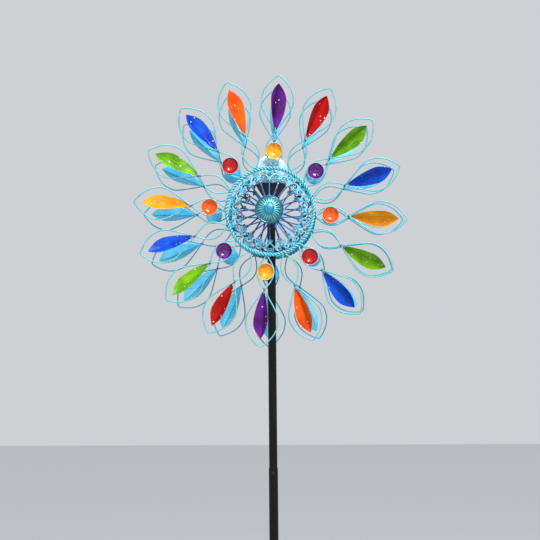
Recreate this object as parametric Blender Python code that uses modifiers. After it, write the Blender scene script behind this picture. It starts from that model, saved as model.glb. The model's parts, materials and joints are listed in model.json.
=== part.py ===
"""A garden windmill: two wire-and-petal wheels that turn freely on one axle, at the head of a
telescoping pole with a solar globe light above the axle and a forked stake below.

Units are metres. +Z is up, the front wheel faces -Y, and the origin is on the pole's axis at the
ground. The rear wheel is the front one's mirror image, so that wind turns the two opposite ways."""

import math

import bmesh
import bpy
import numpy as np

GAP = 0.0003                # clearance kept between pieces that touch or are welded

HUB_HEIGHT = 1.595          # axle above the ground
WHEEL_RADIUS = 0.305        # to the outside of the loops' tips
PETAL_COUNT = 16
FRONT_TURN = math.radians(4.5)      # how far each wheel has turned clockwise at rest, from the front
REAR_TURN = math.radians(2.0)

WIRE_RADIUS = 0.0016
WAIST_SHIFT = 0.0019        # each strand's distance from the loop's surface where they cross
RING_RADIUS = 0.0965        # centre line of the hub ring
RING_WIRE = 0.0048
RING_OFFSET = 0.050         # pole axis to the plane of the hub ring
TIP_OFFSET = 0.070          # pole axis to the tips of the loops
LOOP_START = 0.0985         # radius at which both strands of a loop leave the hub ring
LOOP_WAIST = 0.178          # radius at which they cross
INNER_HALF_WIDTH = 0.019
OUTER_HALF_WIDTH = 0.0365

CUP_RADIUS = 0.0188         # the wind cups, in every second inner loop
CUP_DEPTH = 0.0095
CUP_WALL = 0.0012
CUP_CENTRE = 0.1365         # distance from the axle

PETAL_ROOT = 0.1815
PETAL_TIP = 0.287
PETAL_HALF_WIDTH = 0.0200
PETAL_PITCH = math.radians(35)
PETAL_FOLD = 0.42           # depth of the crease over the half width
PETAL_WIDEST = 0.66         # how far along it a petal is widest
PETAL_SHEET = 0.0010

DOME_RISE = 0.032           # how far the filigree stands out of the hub ring's plane
SPOKE_COUNT = 20
SPOKE_WIRE = 0.0013
SCALLOP_RADIUS = 0.0805     # mean radius of the filigree's scalloped edge
SCALLOP_WAVE = 0.0095

AXLE_RADIUS = 0.004
AXLE_END = 0.0865
CROSS_TUBE_RADIUS = 0.006
CROSS_TUBE_END = 0.0697
BEARING_RADIUS = 0.011
BEARING_WIDTH = 0.007
SLEEVE_RADIUS = 0.0143
NUT_RADIUS = 0.0075         # across the corners
NUT_WIDTH = 0.0065
CAP_RADIUS = 0.032
CAP_SCALE = {"front": 1.0, "rear": 0.4438}      # the rear wheel's hub is the smaller one
PLATE_RADIUS = {"front": 0.030, "rear": 0.018}
PLATE_THICKNESS = {"front": 0.0018, "rear": 0.0060}
CAP_BASE = 0.0803
CAP_TOP = 0.0990

GLOBE_RADIUS = 0.0418
GLOBE_HEIGHT = HUB_HEIGHT + 0.0934
GLOBE_WALL = 0.002
CUP_RIM = 0.0348            # outer radius of the light's funnel
FUNNEL_WALL = 0.002
MODULE_TOP = HUB_HEIGHT + 0.0672
SWITCH_TRAVEL = 0.004

TUBE_WALL = 0.0007
UPPER_TUBE = 0.0093         # outer radii of the three pole sections
MIDDLE_TUBE = 0.0103
LOWER_TUBE = 0.0113
POLE_TOP = HUB_HEIGHT + 0.0335
UPPER_JOINT = 1.018         # top ends of the middle and the lower section
LOWER_JOINT = 0.500
JOINT_OVERLAP = 0.060
SCREW_BELOW_JOINT = 0.011
SCREW_RADIUS = 0.0019
STAKE_DEPTH = 0.235
FORK_DEPTH = 0.165
FORK_HALF_SPAN = 0.070
FORK_BAR = 0.004
FORK_HEIGHT = 0.030

PETAL_COLOURS = ("purple", "red", "green", "blue", "amber", "green", "blue", "orange")
PAINTS = {
    "purple": (0.30, 0.06, 0.38), "red": (0.65, 0.02, 0.03), "green": (0.20, 0.55, 0.05),
    "blue": (0.03, 0.16, 0.62), "amber": (0.85, 0.55, 0.03), "orange": (0.80, 0.22, 0.02),
    "turquoise": (0.13, 0.55, 0.62), "teal": (0.04, 0.33, 0.38),
}

parts = None
helpers = None


def start():
    """Empties the scene and makes one collection for the parts and one for cutters and joined pieces."""
    global parts, helpers
    for old in list(bpy.data.objects):
        bpy.data.objects.remove(old, do_unlink=True)
    parts = bpy.data.collections.new("garden_windmill")
    helpers = bpy.data.collections.new("cutters")
    for collection in (parts, helpers):
        bpy.context.scene.collection.children.link(collection)


def finish(name, colour, roughness, metallic):
    """One Principled finish, made the first time that it is asked for."""
    material = bpy.data.materials.get(name)
    if material is None:
        material = bpy.data.materials.new(name)
        material.use_nodes = True
        shader = material.node_tree.nodes["Principled BSDF"]
        shader.inputs["Base Color"].default_value = (*colour, 1.0)
        shader.inputs["Roughness"].default_value = roughness
        shader.inputs["Metallic"].default_value = metallic
        material.diffuse_color = (*colour, 1.0)
    return material


def paint(colour):
    return finish(colour + "_enamel", PAINTS[colour], 0.3, 0.2)


def black_paint():
    return finish("black_satin_paint", (0.012, 0.012, 0.013), 0.4, 0.1)


def black_plastic():
    return finish("black_plastic", (0.015, 0.015, 0.016), 0.5, 0.0)


def zinc():
    return finish("zinc_plated_steel", (0.62, 0.63, 0.65), 0.35, 1.0)


def new_part(name, data, material, parent=None):
    part = bpy.data.objects.new(name, data)
    parts.objects.link(part)
    part.parent = parent
    if not data.materials:
        data.materials.append(None)
    part.material_slots[0].link = "OBJECT"
    part.material_slots[0].material = material
    return part


def new_helper(name, mesh, parent=None):
    """An object that only cuts a part or is joined into one."""
    helper = bpy.data.objects.new(name, mesh)
    helpers.objects.link(helper)
    helper.parent = parent
    helper.hide_render = True
    helper.display_type = "WIRE"
    return helper


def boolean(part, helper, operation, solver="EXACT"):
    modifier = part.modifiers.new(operation.lower() + "_" + helper.name, "BOOLEAN")
    modifier.operation = operation
    modifier.object = helper
    modifier.solver = solver


def turned(name, profile, material, steps=16, closed=False, parent=None):
    """A turned piece. The profile holds (radius, height) points that run down the outer side; a
    closed profile returns up the inner side, as on a tube, and an open one ends on the axis."""
    mesh = bpy.data.meshes.new(name)
    last = len(profile) - 1
    edges = [(i, i + 1) for i in range(last)] + ([(last, 0)] if closed else [])
    mesh.from_pydata([(radius, 0.0, height) for radius, height in profile], edges, [])
    part = new_part(name, mesh, material, parent)
    screw = part.modifiers.new("turn", "SCREW")
    screw.axis = "Z"
    screw.angle = 2 * math.pi
    screw.steps = screw.render_steps = steps
    screw.use_merge_vertices = True
    screw.merge_threshold = 0.00005
    screw.use_smooth_shade = True
    return part


def tube(name, radius, inner, bottom, top, material, steps=16, parent=None):
    profile = [(radius, top), (radius, bottom), (inner, bottom), (inner, top)]
    return turned(name, profile, material, steps, True, parent)


def block_mesh(name, size):
    mesh = bpy.data.meshes.new(name)
    shape = bmesh.new()
    bmesh.ops.create_cube(shape, size=1.0)
    bmesh.ops.scale(shape, vec=size, verts=shape.verts)
    shape.to_mesh(mesh)
    shape.free()
    return mesh


def box_cutter(name, size, place):
    cutter = new_helper(name, block_mesh(name, size))
    cutter.location = place
    return cutter


def rod_cutter(name, radius, length, place):
    """A round cutter that lies along Y, centred on its place."""
    mesh = bpy.data.meshes.new(name)
    shape = bmesh.new()
    bmesh.ops.create_cone(
        shape, cap_ends=True, segments=16, radius1=radius, radius2=radius, depth=length
    )
    shape.to_mesh(mesh)
    shape.free()
    cutter = new_helper(name, mesh)
    cutter.rotation_euler = (math.pi / 2, 0.0, 0.0)
    cutter.location = place
    return cutter


def wire_curve(name, paths, radius, sides=0, cyclic=False, taper=None):
    """Round wire along each path of points, as one curve; taper gives the radius factor at each point."""
    curve = bpy.data.curves.new(name, "CURVE")
    curve.dimensions = "3D"
    curve.bevel_depth = radius
    curve.bevel_resolution = sides
    curve.use_fill_caps = True
    for path in paths:
        spline = curve.splines.new("POLY")
        spline.points.add(len(path) - 1)
        for i, point in enumerate(path):
            spline.points[i].co = (*point, 1.0)
            if taper:
                spline.points[i].radius = taper[i]
        spline.use_cyclic_u = cyclic
    return curve


def wire_mesh(name, paths, radius, sides=0, cyclic=False):
    """The same wire as a mesh with its caps welded, which a Boolean can take."""
    curve = wire_curve(name, paths, radius, sides, cyclic)
    drawn = bpy.data.objects.new(name + "_curve", curve)
    helpers.objects.link(drawn)
    graph = bpy.context.evaluated_depsgraph_get()
    mesh = bpy.data.meshes.new_from_object(drawn.evaluated_get(graph))
    mesh.name = name
    bpy.data.objects.remove(drawn)
    shape = bmesh.new()
    shape.from_mesh(mesh)
    bmesh.ops.remove_doubles(shape, verts=shape.verts, dist=0.00001)
    bmesh.ops.recalc_face_normals(shape, faces=shape.faces)
    shape.to_mesh(mesh)
    shape.free()
    return mesh


# The wheels. Their pieces are children of an empty on the axle, and are drawn about it. `side` is
# -1 on the front wheel and +1 on the rear one, and multiplies every distance along Y.


def dish(radius):
    """How far the wheel's surface stands from the pole's axis, growing evenly from ring to tips."""
    return RING_OFFSET + (TIP_OFFSET - RING_OFFSET) * (radius - RING_RADIUS) / (
        WHEEL_RADIUS - RING_RADIUS
    )


def dome(radius):
    """The same for the filigree: a shallow paraboloid that meets the ring's plane at its edge."""
    return RING_OFFSET + DOME_RISE * (1 - (radius / (RING_RADIUS - RING_WIRE)) ** 2)


def on_wheel(angle, radius, across, away, side):
    """A point at this clockwise angle and radius, `across` to the right of it and `away` along Y."""
    return (
        radius * math.sin(angle) + across * math.cos(angle),
        side * away,
        radius * math.cos(angle) - across * math.sin(angle),
    )


def loop(angle, side):
    """A figure-eight loop of one wire: out from the hub ring on the left, over the waist to the
    right, round the tip and back, where it passes behind its first half. Each half of each lobe is
    a sine arch over its stretch of the radius."""
    tip = WHEEL_RADIUS - WIRE_RADIUS
    half = []
    for t in np.linspace(0, 1, 5)[:-1]:
        half.append((LOOP_START + t * (LOOP_WAIST - LOOP_START), -INNER_HALF_WIDTH * math.sin(math.pi * t)))
    for t in np.linspace(0, 1, 7)[:-1]:
        half.append((LOOP_WAIST + t * (tip - LOOP_WAIST), OUTER_HALF_WIDTH * math.sin(math.pi * t**1.1)))
    path = [(r, v, WAIST_SHIFT if r == LOOP_WAIST else 0) for r, v in half] + [(tip, 0, 0)]
    path += [(r, -v, -shift) for r, v, shift in path[-2:0:-1]]
    return [on_wheel(angle, r, v, dish(r) + shift, side) for r, v, shift in path]


def wheel_frame(name, wheel, side, turn):
    """The hub ring with the loops and the wind cups welded to it."""
    bpy.ops.mesh.primitive_torus_add(
        major_segments=32, minor_segments=6, major_radius=RING_RADIUS, minor_radius=RING_WIRE
    )
    ring = bpy.context.active_object
    mesh = ring.data
    bpy.data.objects.remove(ring)
    shape = bmesh.new()
    shape.from_mesh(mesh)
    for vertex in shape.verts:
        x, y, z = vertex.co
        vertex.co = (x, side * RING_OFFSET + z, y)
    bmesh.ops.recalc_face_normals(shape, faces=shape.faces)
    shape.to_mesh(mesh)
    shape.free()
    frame = new_part(name, mesh, paint("turquoise"), wheel)
    angles = [turn + 2 * math.pi * i / PETAL_COUNT for i in range(PETAL_COUNT)]
    loops = wire_mesh(name + "_loops", [loop(angle, side) for angle in angles], WIRE_RADIUS, 0, True)
    boolean(frame, new_helper(name + "_loops", loops, wheel), "UNION")
    for i, angle in enumerate(angles[::2], 1):
        boolean(frame, wind_cup(f"{name}_cup_{i}", angle, wheel, side), "UNION")


def wind_cup(name, angle, wheel, side):
    """A shallow bowl, open to the wheel's face, whose rim is welded between the strands of its loop."""
    rim = dish(CUP_CENTRE) + WIRE_RADIUS
    outer = [(CUP_RADIUS, rim), (0.8 * CUP_RADIUS, rim - 0.6 * CUP_DEPTH), (0, rim - CUP_DEPTH)]
    inner = [(r - CUP_WALL if r else 0, h + (CUP_WALL if h < rim else 0)) for r, h in outer[::-1]]
    mesh = bpy.data.meshes.new(name)
    shape = bmesh.new()
    start_ring = [shape.verts.new((radius, 0, height)) for radius, height in outer + inner]
    edges = [shape.edges.new(pair) for pair in zip(start_ring, start_ring[1:])]
    edges.append(shape.edges.new((start_ring[-1], start_ring[0])))
    bmesh.ops.spin(
        shape, geom=start_ring + edges, axis=(0, 0, 1), cent=(0, 0, 0), steps=8,
        angle=2 * math.pi, use_merge=True,
    )
    bmesh.ops.remove_doubles(shape, verts=shape.verts, dist=0.00005)
    bmesh.ops.dissolve_degenerate(shape, dist=0.00001, edges=shape.edges)
    loose = [face for face in shape.faces if face.calc_area() < 1e-10]
    bmesh.ops.delete(shape, geom=loose, context="FACES")
    bmesh.ops.recalc_face_normals(shape, faces=shape.faces)
    shape.to_mesh(mesh)
    shape.free()
    cup = new_helper(name, mesh, wheel)
    cup.rotation_euler = (-side * math.pi / 2, angle, 0)
    cup.location = on_wheel(angle, CUP_CENTRE, 0, 0, side)
    return cup


def leaf(along):
    """A petal's width over its widest, from 0 at its root to 0 at its pointed tip."""
    if along < PETAL_WIDEST:
        return math.sin(math.pi / 2 * along / PETAL_WIDEST) ** 0.85
    return 1 - ((along - PETAL_WIDEST) / (1 - PETAL_WIDEST)) ** 1.9


def petal_mesh(name, side):
    """One petal, pointing up from the axle. It is a pointed leaf, folded along its middle with its
    edges forward, and pitched about its own length."""
    mesh = bpy.data.meshes.new(name)
    shape = bmesh.new()
    bmesh.ops.create_grid(shape, x_segments=2, y_segments=5, size=1.0)
    for vertex in shape.verts:
        across, along = vertex.co.x, (vertex.co.y + 1) / 2
        width = 0.0008 + PETAL_HALF_WIDTH * leaf(along)
        radius = PETAL_ROOT + along * (PETAL_TIP - PETAL_ROOT)
        forward = PETAL_FOLD * abs(across) * width - 0.5 * PETAL_FOLD * width
        sideways = across * width
        away = forward * math.cos(PETAL_PITCH) + sideways * math.sin(PETAL_PITCH)
        tangent = sideways * math.cos(PETAL_PITCH) - forward * math.sin(PETAL_PITCH)
        vertex.co = on_wheel(0, radius, -tangent, dish(radius) + away, side)
    shape.to_mesh(mesh)
    shape.free()
    return mesh


def petals(word, wheel, side, turn):
    mesh = petal_mesh(word + "_petal", side)
    for i in range(PETAL_COUNT):
        colour = PETAL_COLOURS[i % len(PETAL_COLOURS)]
        petal = new_part(f"{word}_petal_{i + 1:02d}", mesh, paint(colour), wheel)
        petal.rotation_euler = (0, turn + 2 * math.pi * i / PETAL_COUNT, 0)
        sheet = petal.modifiers.new("sheet", "SOLIDIFY")
        sheet.thickness = PETAL_SHEET
        sheet.offset = 0.0


def filigree(word, wheel, side):
    """A domed casting: a centre plate, spokes that are long and short in turn, and a scalloped edge
    whose crests reach the hub ring."""
    name = word + "_filigree"
    plate_radius = PLATE_RADIUS[word]
    plate_face = dome(plate_radius) + 0.0008
    plate = tube(name, plate_radius, SLEEVE_RADIUS + GAP, plate_face - PLATE_THICKNESS[word], plate_face,
                 paint("turquoise"), 24, wheel)
    plate.rotation_euler = (-side * math.pi / 2, 0, 0)
    spokes = []
    for i in range(SPOKE_COUNT):
        angle = 2 * math.pi * i / SPOKE_COUNT
        end = SCALLOP_RADIUS + 0.0003 + (SCALLOP_WAVE if i % 2 == 0 else -SCALLOP_WAVE)
        radii = np.linspace(plate_radius - 0.002, end, 3)
        spokes.append([on_wheel(angle, r, 0, dome(r), side) for r in radii])
    edge = []
    for angle in (np.arange(60) + 0.5) * math.pi / 30:
        radius = SCALLOP_RADIUS + SCALLOP_WAVE * math.cos(angle * SPOKE_COUNT / 2)
        edge.append(on_wheel(angle, radius, 0, dome(radius), side))
    for word, paths, cyclic in (("spokes", spokes, False), ("edge", [edge], True)):
        mesh = wire_mesh(name + "_" + word, paths, SPOKE_WIRE, 0, cyclic)
        boolean(plate, new_helper(name + "_" + word, mesh, wheel), "UNION", "MANIFOLD")


def wheel(word, side, turn):
    axis = bpy.data.objects.new(word + "_wheel_axis", None)
    parts.objects.link(axis)
    axis.location = (0, 0, HUB_HEIGHT)
    wheel_frame(word + "_wheel_frame", axis, side, turn)
    petals(word, axis, side, turn)
    filigree(word, axis, side)
    upright = (-side * math.pi / 2, 0, 0)
    bearing_start = CROSS_TUBE_END + GAP
    sleeve = tube(word + "_hub_sleeve", SLEEVE_RADIUS, BEARING_RADIUS + GAP, 0.066, 0.080,
                  paint("turquoise"), 16, axis)
    sleeve.rotation_euler = upright
    bearing = tube(word + "_bearing", BEARING_RADIUS, AXLE_RADIUS + GAP, bearing_start,
                   bearing_start + BEARING_WIDTH, zinc(), 16, axis)
    bearing.rotation_euler = upright
    outer = [(0, CAP_TOP), (0.0095, CAP_TOP), (0.0105, 0.0975), (0.0200, 0.0945), (0.0275, 0.0880),
             (0.0300, 0.0865), (CAP_RADIUS, 0.0850), (CAP_RADIUS, CAP_BASE)]
    inner = [(0.0303, CAP_BASE), (0.0295, 0.0850), (0.0255, 0.0870), (0.0190, 0.0930),
             (0.0090, 0.0965), (0, 0.0970)]
    profile = [(radius * CAP_SCALE[word], height) for radius, height in outer + inner]
    cap = turned(word + "_hub_cap", profile, paint("teal"), 24, False, axis)
    cap.rotation_euler = upright


# The axle, the pole, the stake and the light, which all stand still.


def lock_nut(name, side):
    """A hexagon nut that keeps its wheel on the axle."""
    start = CROSS_TUBE_END + BEARING_WIDTH + 2 * GAP
    end = start + NUT_WIDTH
    nut = turned(name, [(0, end), (NUT_RADIUS, end), (NUT_RADIUS, start), (0, start)], zinc(), 6)
    nut.rotation_euler = (-side * math.pi / 2, 0, 0)
    nut.location = (0, 0, HUB_HEIGHT)
    middle = (0, side * (start + end) / 2, HUB_HEIGHT)
    boolean(nut, rod_cutter(name + "_bore", AXLE_RADIUS + GAP, 0.02, middle), "DIFFERENCE")


def axle():
    shaft = turned(
        "axle_shaft",
        [(0, AXLE_END), (AXLE_RADIUS, AXLE_END), (AXLE_RADIUS, -AXLE_END), (0, -AXLE_END)],
        zinc(),
    )
    cross_tube = tube("axle_cross_tube", CROSS_TUBE_RADIUS, AXLE_RADIUS + GAP, -CROSS_TUBE_END,
                      CROSS_TUBE_END, black_paint())
    for part in (shaft, cross_tube):
        part.rotation_euler = (math.pi / 2, 0, 0)
        part.location = (0, 0, HUB_HEIGHT)
    lock_nut("front_lock_nut", -1)
    lock_nut("rear_lock_nut", 1)


def pole():
    """Three steel tubes, each pushed into the wider one below it and held by a screw."""
    upper = tube("pole_upper", UPPER_TUBE, UPPER_TUBE - TUBE_WALL, UPPER_JOINT - JOINT_OVERLAP,
                 POLE_TOP, black_paint())
    middle = tube("pole_middle", MIDDLE_TUBE, MIDDLE_TUBE - TUBE_WALL,
                  LOWER_JOINT - JOINT_OVERLAP, UPPER_JOINT, black_paint())
    lower = tube("pole_lower", LOWER_TUBE, LOWER_TUBE - TUBE_WALL, 0.0, LOWER_JOINT, black_paint())
    hole = rod_cutter("cross_tube_hole", CROSS_TUBE_RADIUS + GAP, 0.03, (0, 0, HUB_HEIGHT))
    boolean(upper, hole, "DIFFERENCE")
    joints = (("upper", UPPER_JOINT, MIDDLE_TUBE, (upper, middle)),
              ("lower", LOWER_JOINT, LOWER_TUBE, (middle, lower)))
    for word, height, radius, sections in joints:
        height -= SCREW_BELOW_JOINT
        hole = rod_cutter(word + "_screw_hole", SCREW_RADIUS + GAP, 0.012, (0, -0.009, height))
        for section in sections:
            boolean(section, hole, "DIFFERENCE")
        head = radius + GAP
        screw = turned(
            "pole_screw_" + word,
            [(0, head + 0.0022), (0.0024, head + 0.0020), (0.0036, head + 0.0008), (0.0036, head),
             (SCREW_RADIUS, head), (SCREW_RADIUS, radius - 0.005), (0, radius - 0.006)],
            zinc(), 16,
        )
        screw.rotation_euler = (math.pi / 2, 0, 0)
        screw.location = (0, 0, height)


def stake():
    """A pointed plug in the pole's foot, and a bent bar with two legs that stops the pole turning."""
    plug = LOWER_TUBE - TUBE_WALL - GAP
    turned(
        "ground_spike",
        [(0, 0.035), (plug, 0.035), (plug, -GAP), (LOWER_TUBE, -GAP), (LOWER_TUBE, -0.010),
         (0.0080, -0.016), (0.0075, -STAKE_DEPTH + 0.05), (0.0012, -STAKE_DEPTH), (0, -STAKE_DEPTH)],
        black_paint(),
    )
    bend = 0.014
    across = FORK_HALF_SPAN - bend
    corner = [(across + bend * math.cos(a), FORK_HEIGHT - bend + bend * math.sin(a))
              for a in np.linspace(0, math.pi / 2, 5)]
    leg = [(FORK_HALF_SPAN, -FORK_DEPTH), (FORK_HALF_SPAN, -FORK_DEPTH + 0.035)]
    half = leg + corner
    behind = LOWER_TUBE + FORK_BAR + GAP
    path = [(x, behind, z) for x, z in half] + [(-x, behind, z) for x, z in half[::-1]]
    taper = [0.2] + [1.0] * (len(path) - 2) + [0.2]
    curve = wire_curve("ground_fork", [path], FORK_BAR, 2, False, taper)
    new_part("ground_fork", curve, black_paint())


def light():
    """The funnel that caps the pole, the module that lies in it, and the glass globe on top."""
    h = HUB_HEIGHT
    bore = UPPER_TUBE + GAP
    funnel = [(CUP_RIM, h + 0.0668), (CUP_RIM, h + 0.0645), (0.0185, h + 0.0385),
              (0.0128, h + 0.0330), (0.0116, h + 0.0200), (bore, h + 0.0200), (bore, h + 0.0345),
              (0.0165, h + 0.0395), (CUP_RIM - FUNNEL_WALL, h + 0.0642),
              (CUP_RIM - FUNNEL_WALL, h + 0.0668)]
    cup = turned("light_cup", funnel, black_plastic(), 24, True)
    slot = box_cutter("switch_slot", (0.0108, 0.014, 0.0038), (0, 0.026, h + 0.0525))
    boolean(cup, slot, "DIFFERENCE")
    lid = CUP_RIM - FUNNEL_WALL - GAP
    module = turned(
        "light_module",
        [(0, MODULE_TOP), (lid, MODULE_TOP), (lid, h + 0.0646), (0.0240, h + 0.0646),
         (0.0205, h + 0.0560), (0.0195, h + 0.0485), (0, h + 0.0485)],
        black_plastic(), 24,
    )
    trough = box_cutter("battery_trough", (0.0308, 0.0108, 0.014), (0, 0, h + 0.0490))
    boolean(module, trough, "DIFFERENCE")
    battery = turned(
        "battery_cell",
        [(0, 0.0150), (0.0020, 0.0150), (0.0020, 0.0142), (0.0050, 0.0142), (0.0050, -0.0150),
         (0, -0.0150)],
        finish("battery_sleeve", (0.05, 0.30, 0.12), 0.35, 0.1), 20,
    )
    battery.rotation_euler = (0, math.pi / 2, 0)
    battery.location = (0, 0, h + 0.0505)
    cell = new_part("solar_cell", block_mesh("solar_cell", (0.024, 0.024, 0.0018)),
                    finish("solar_glass", (0.02, 0.03, 0.10), 0.15, 0.3))
    cell.location = (0, 0, MODULE_TOP + GAP + 0.0009)
    led_base = MODULE_TOP + GAP
    led = turned(
        "led_lamp",
        [(0, led_base + 0.0075), (0.0015, led_base + 0.0070), (0.0025, led_base + 0.0050),
         (0.0025, led_base + 0.0010), (0.0030, led_base + 0.0010), (0.0030, led_base),
         (0, led_base)],
        finish("led_epoxy", (0.9, 0.9, 0.85), 0.1, 0.0), 12,
    )
    led.location = (0, -0.0165, 0)
    knob = new_part("power_switch", block_mesh("power_switch", (0.006, 0.0072, 0.0030)),
                    finish("switch_plastic", (0.5, 0.5, 0.5), 0.5, 0.0))
    knob.location = (-SWITCH_TRAVEL / 2, 0.0256, h + 0.0525)
    bevel = knob.modifiers.new("edges", "BEVEL")
    bevel.width = 0.0004
    bevel.segments = 1
    globe()


def globe():
    """A blown ball with an open mouth, which stands on the module."""
    mouth = math.acos((GLOBE_HEIGHT - MODULE_TOP - GAP) / GLOBE_RADIUS)
    outer = [(GLOBE_RADIUS * math.sin(a), GLOBE_HEIGHT + GLOBE_RADIUS * math.cos(a))
             for a in np.linspace(0, math.pi - mouth, 10)]
    hollow = GLOBE_RADIUS - GLOBE_WALL
    mouth = math.acos((GLOBE_HEIGHT - MODULE_TOP - GAP) / hollow)
    inner = [(hollow * math.sin(a), GLOBE_HEIGHT + hollow * math.cos(a))
             for a in np.linspace(math.pi - mouth, 0, 10)]
    turned("glass_globe", outer + inner, finish("crackle_glass", (0.8, 0.92, 0.95), 0.1, 0.0), 24)


start()
wheel("front", -1, FRONT_TURN)
wheel("rear", 1, REAR_TURN)
axle()
pole()
stake()
light()
bpy.context.view_layer.update()
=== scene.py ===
import json
import math

import bpy
import numpy as np
from mathutils import Matrix, Vector

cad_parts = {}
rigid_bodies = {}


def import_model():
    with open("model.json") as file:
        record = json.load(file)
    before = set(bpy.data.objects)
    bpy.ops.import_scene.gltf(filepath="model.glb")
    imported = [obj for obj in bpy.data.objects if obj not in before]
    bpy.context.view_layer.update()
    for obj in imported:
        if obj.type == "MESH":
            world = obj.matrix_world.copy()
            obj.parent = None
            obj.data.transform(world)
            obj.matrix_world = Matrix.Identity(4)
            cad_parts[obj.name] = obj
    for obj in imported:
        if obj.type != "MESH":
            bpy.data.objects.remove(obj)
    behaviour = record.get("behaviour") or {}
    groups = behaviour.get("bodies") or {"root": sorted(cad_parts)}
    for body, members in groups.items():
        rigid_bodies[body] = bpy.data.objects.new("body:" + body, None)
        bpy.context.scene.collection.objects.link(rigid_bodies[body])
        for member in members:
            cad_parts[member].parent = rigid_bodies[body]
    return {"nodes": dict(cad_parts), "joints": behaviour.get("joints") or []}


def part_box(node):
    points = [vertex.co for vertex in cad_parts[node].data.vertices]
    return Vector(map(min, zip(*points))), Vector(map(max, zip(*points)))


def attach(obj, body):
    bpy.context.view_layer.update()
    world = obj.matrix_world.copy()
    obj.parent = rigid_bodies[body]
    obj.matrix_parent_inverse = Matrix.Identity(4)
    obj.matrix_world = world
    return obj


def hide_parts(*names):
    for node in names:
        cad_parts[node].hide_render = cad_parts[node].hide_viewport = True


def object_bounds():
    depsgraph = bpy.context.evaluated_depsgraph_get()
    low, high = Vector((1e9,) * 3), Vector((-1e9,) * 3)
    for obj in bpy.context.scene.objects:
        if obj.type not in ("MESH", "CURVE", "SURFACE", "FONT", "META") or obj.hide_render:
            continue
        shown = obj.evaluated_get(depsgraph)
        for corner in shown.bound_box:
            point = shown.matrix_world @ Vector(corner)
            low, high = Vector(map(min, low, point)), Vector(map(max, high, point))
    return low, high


for left_over in list(bpy.data.objects):
    bpy.data.objects.remove(left_over)
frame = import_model()
cad_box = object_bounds()

# ------------------------------
# Stage. A pale studio floor just below the point of the stake, soft light from all round, a
# large soft lamp above and in front, and a weaker one behind. The lens is a short telephoto.

axle_height = next(joint["pos_m"][2] for joint in frame["joints"] if joint["name"] == "front_wheel_spin")
camera_distance = 2.47
camera_lens = 73.7
camera_yaw = math.radians(2.9)
camera_pitch = math.radians(3.66)
camera_roll = math.radians(-0.5)
hub_in_view = (-0.0008, 0.1332)     # how far the hub's front stands right of and above the lens axis
hub_front = Vector((0, -0.065, axle_height))

aim = (
    Matrix.Rotation(camera_yaw, 4, "Z")
    @ Matrix.Rotation(math.pi / 2 + camera_pitch, 4, "X")
    @ Matrix.Rotation(camera_roll, 4, "Z")
)
camera = bpy.data.objects.new("camera", bpy.data.cameras.new("camera"))
camera.data.lens = camera_lens
seen_hub = aim.to_3x3() @ Vector((*hub_in_view, -camera_distance))
camera.matrix_world = Matrix.Translation(hub_front - seen_hub) @ aim
bpy.context.scene.collection.objects.link(camera)
bpy.context.scene.camera = camera
bpy.context.scene.view_settings.view_transform = "Standard"


def soft_lamp(name, place, size, power, colour):
    """A square soft lamp that faces the hub."""
    light = bpy.data.lights.new(name, "AREA")
    light.size = size
    light.energy = power
    light.color = colour
    holder = bpy.data.objects.new(name, light)
    holder.location = place
    holder.rotation_euler = (hub_front - Vector(place)).to_track_quat("-Z", "Y").to_euler()
    bpy.context.scene.collection.objects.link(holder)


soft_lamp("key_lamp", (0.9, -2.5, 4.3), 0.9, 190, (1.0, 0.985, 0.96))
soft_lamp("back_lamp", (-1.0, 1.9, 3.7), 1.5, 24, (0.95, 0.98, 1.0))

# The studio's walls are pale grey, and its ceiling is one big soft light.
wall_light, ceiling_light = 0.66, 1.0
world = bpy.data.worlds.new("studio")
bpy.context.scene.world = world
world.use_nodes = True
air = world.node_tree
air.nodes["Background"].inputs["Color"].default_value = (0.93, 0.96, 1.0, 1.0)
direction = air.nodes.new("ShaderNodeTexCoord")
split = air.nodes.new("ShaderNodeSeparateXYZ")
rise = air.nodes.new("ShaderNodeMapRange")
rise.inputs["From Min"].default_value = 0.35
rise.inputs["From Max"].default_value = 0.95
rise.inputs["To Min"].default_value = wall_light
rise.inputs["To Max"].default_value = ceiling_light
air.links.new(direction.outputs["Generated"], split.inputs["Vector"])
air.links.new(split.outputs["Z"], rise.inputs["Value"])
air.links.new(rise.outputs["Result"], air.nodes["Background"].inputs["Strength"])

floor_reach = 14.0
floor_height = cad_box[0].z - 0.004
floor_mesh = bpy.data.meshes.new("studio_floor")
floor_sides = ((-1, -1), (1, -1), (1, 1), (-1, 1))
floor_corners = [(x * floor_reach, y * floor_reach, floor_height) for x, y in floor_sides]
floor_mesh.from_pydata(floor_corners, [], [(0, 1, 2, 3)])
floor_paint = bpy.data.materials.new("studio_floor")
floor_paint.use_nodes = True
floor_shader = floor_paint.node_tree.nodes["Principled BSDF"]
floor_shader.inputs["Base Color"].default_value = (0.58, 0.59, 0.60, 1)
floor_shader.inputs["Roughness"].default_value = 0.8
floor_mesh.materials.append(floor_paint)
floor = bpy.data.objects.new("studio_floor", floor_mesh)
bpy.context.scene.collection.objects.link(floor)

# ------------------------------
# Pole. Three drawn steel tubes with a baked satin black powder coat, each pushed into the wider one
# below it. The coat has the fine orange peel of powder, a few rubbed lines, and dust near the ground.


def display(red, green, blue):
    """A colour given as a screen shows it, from 0 to 255, as the light that a shader works in."""
    return tuple((value / 255) ** 2.2 for value in (red, green, blue))


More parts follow.
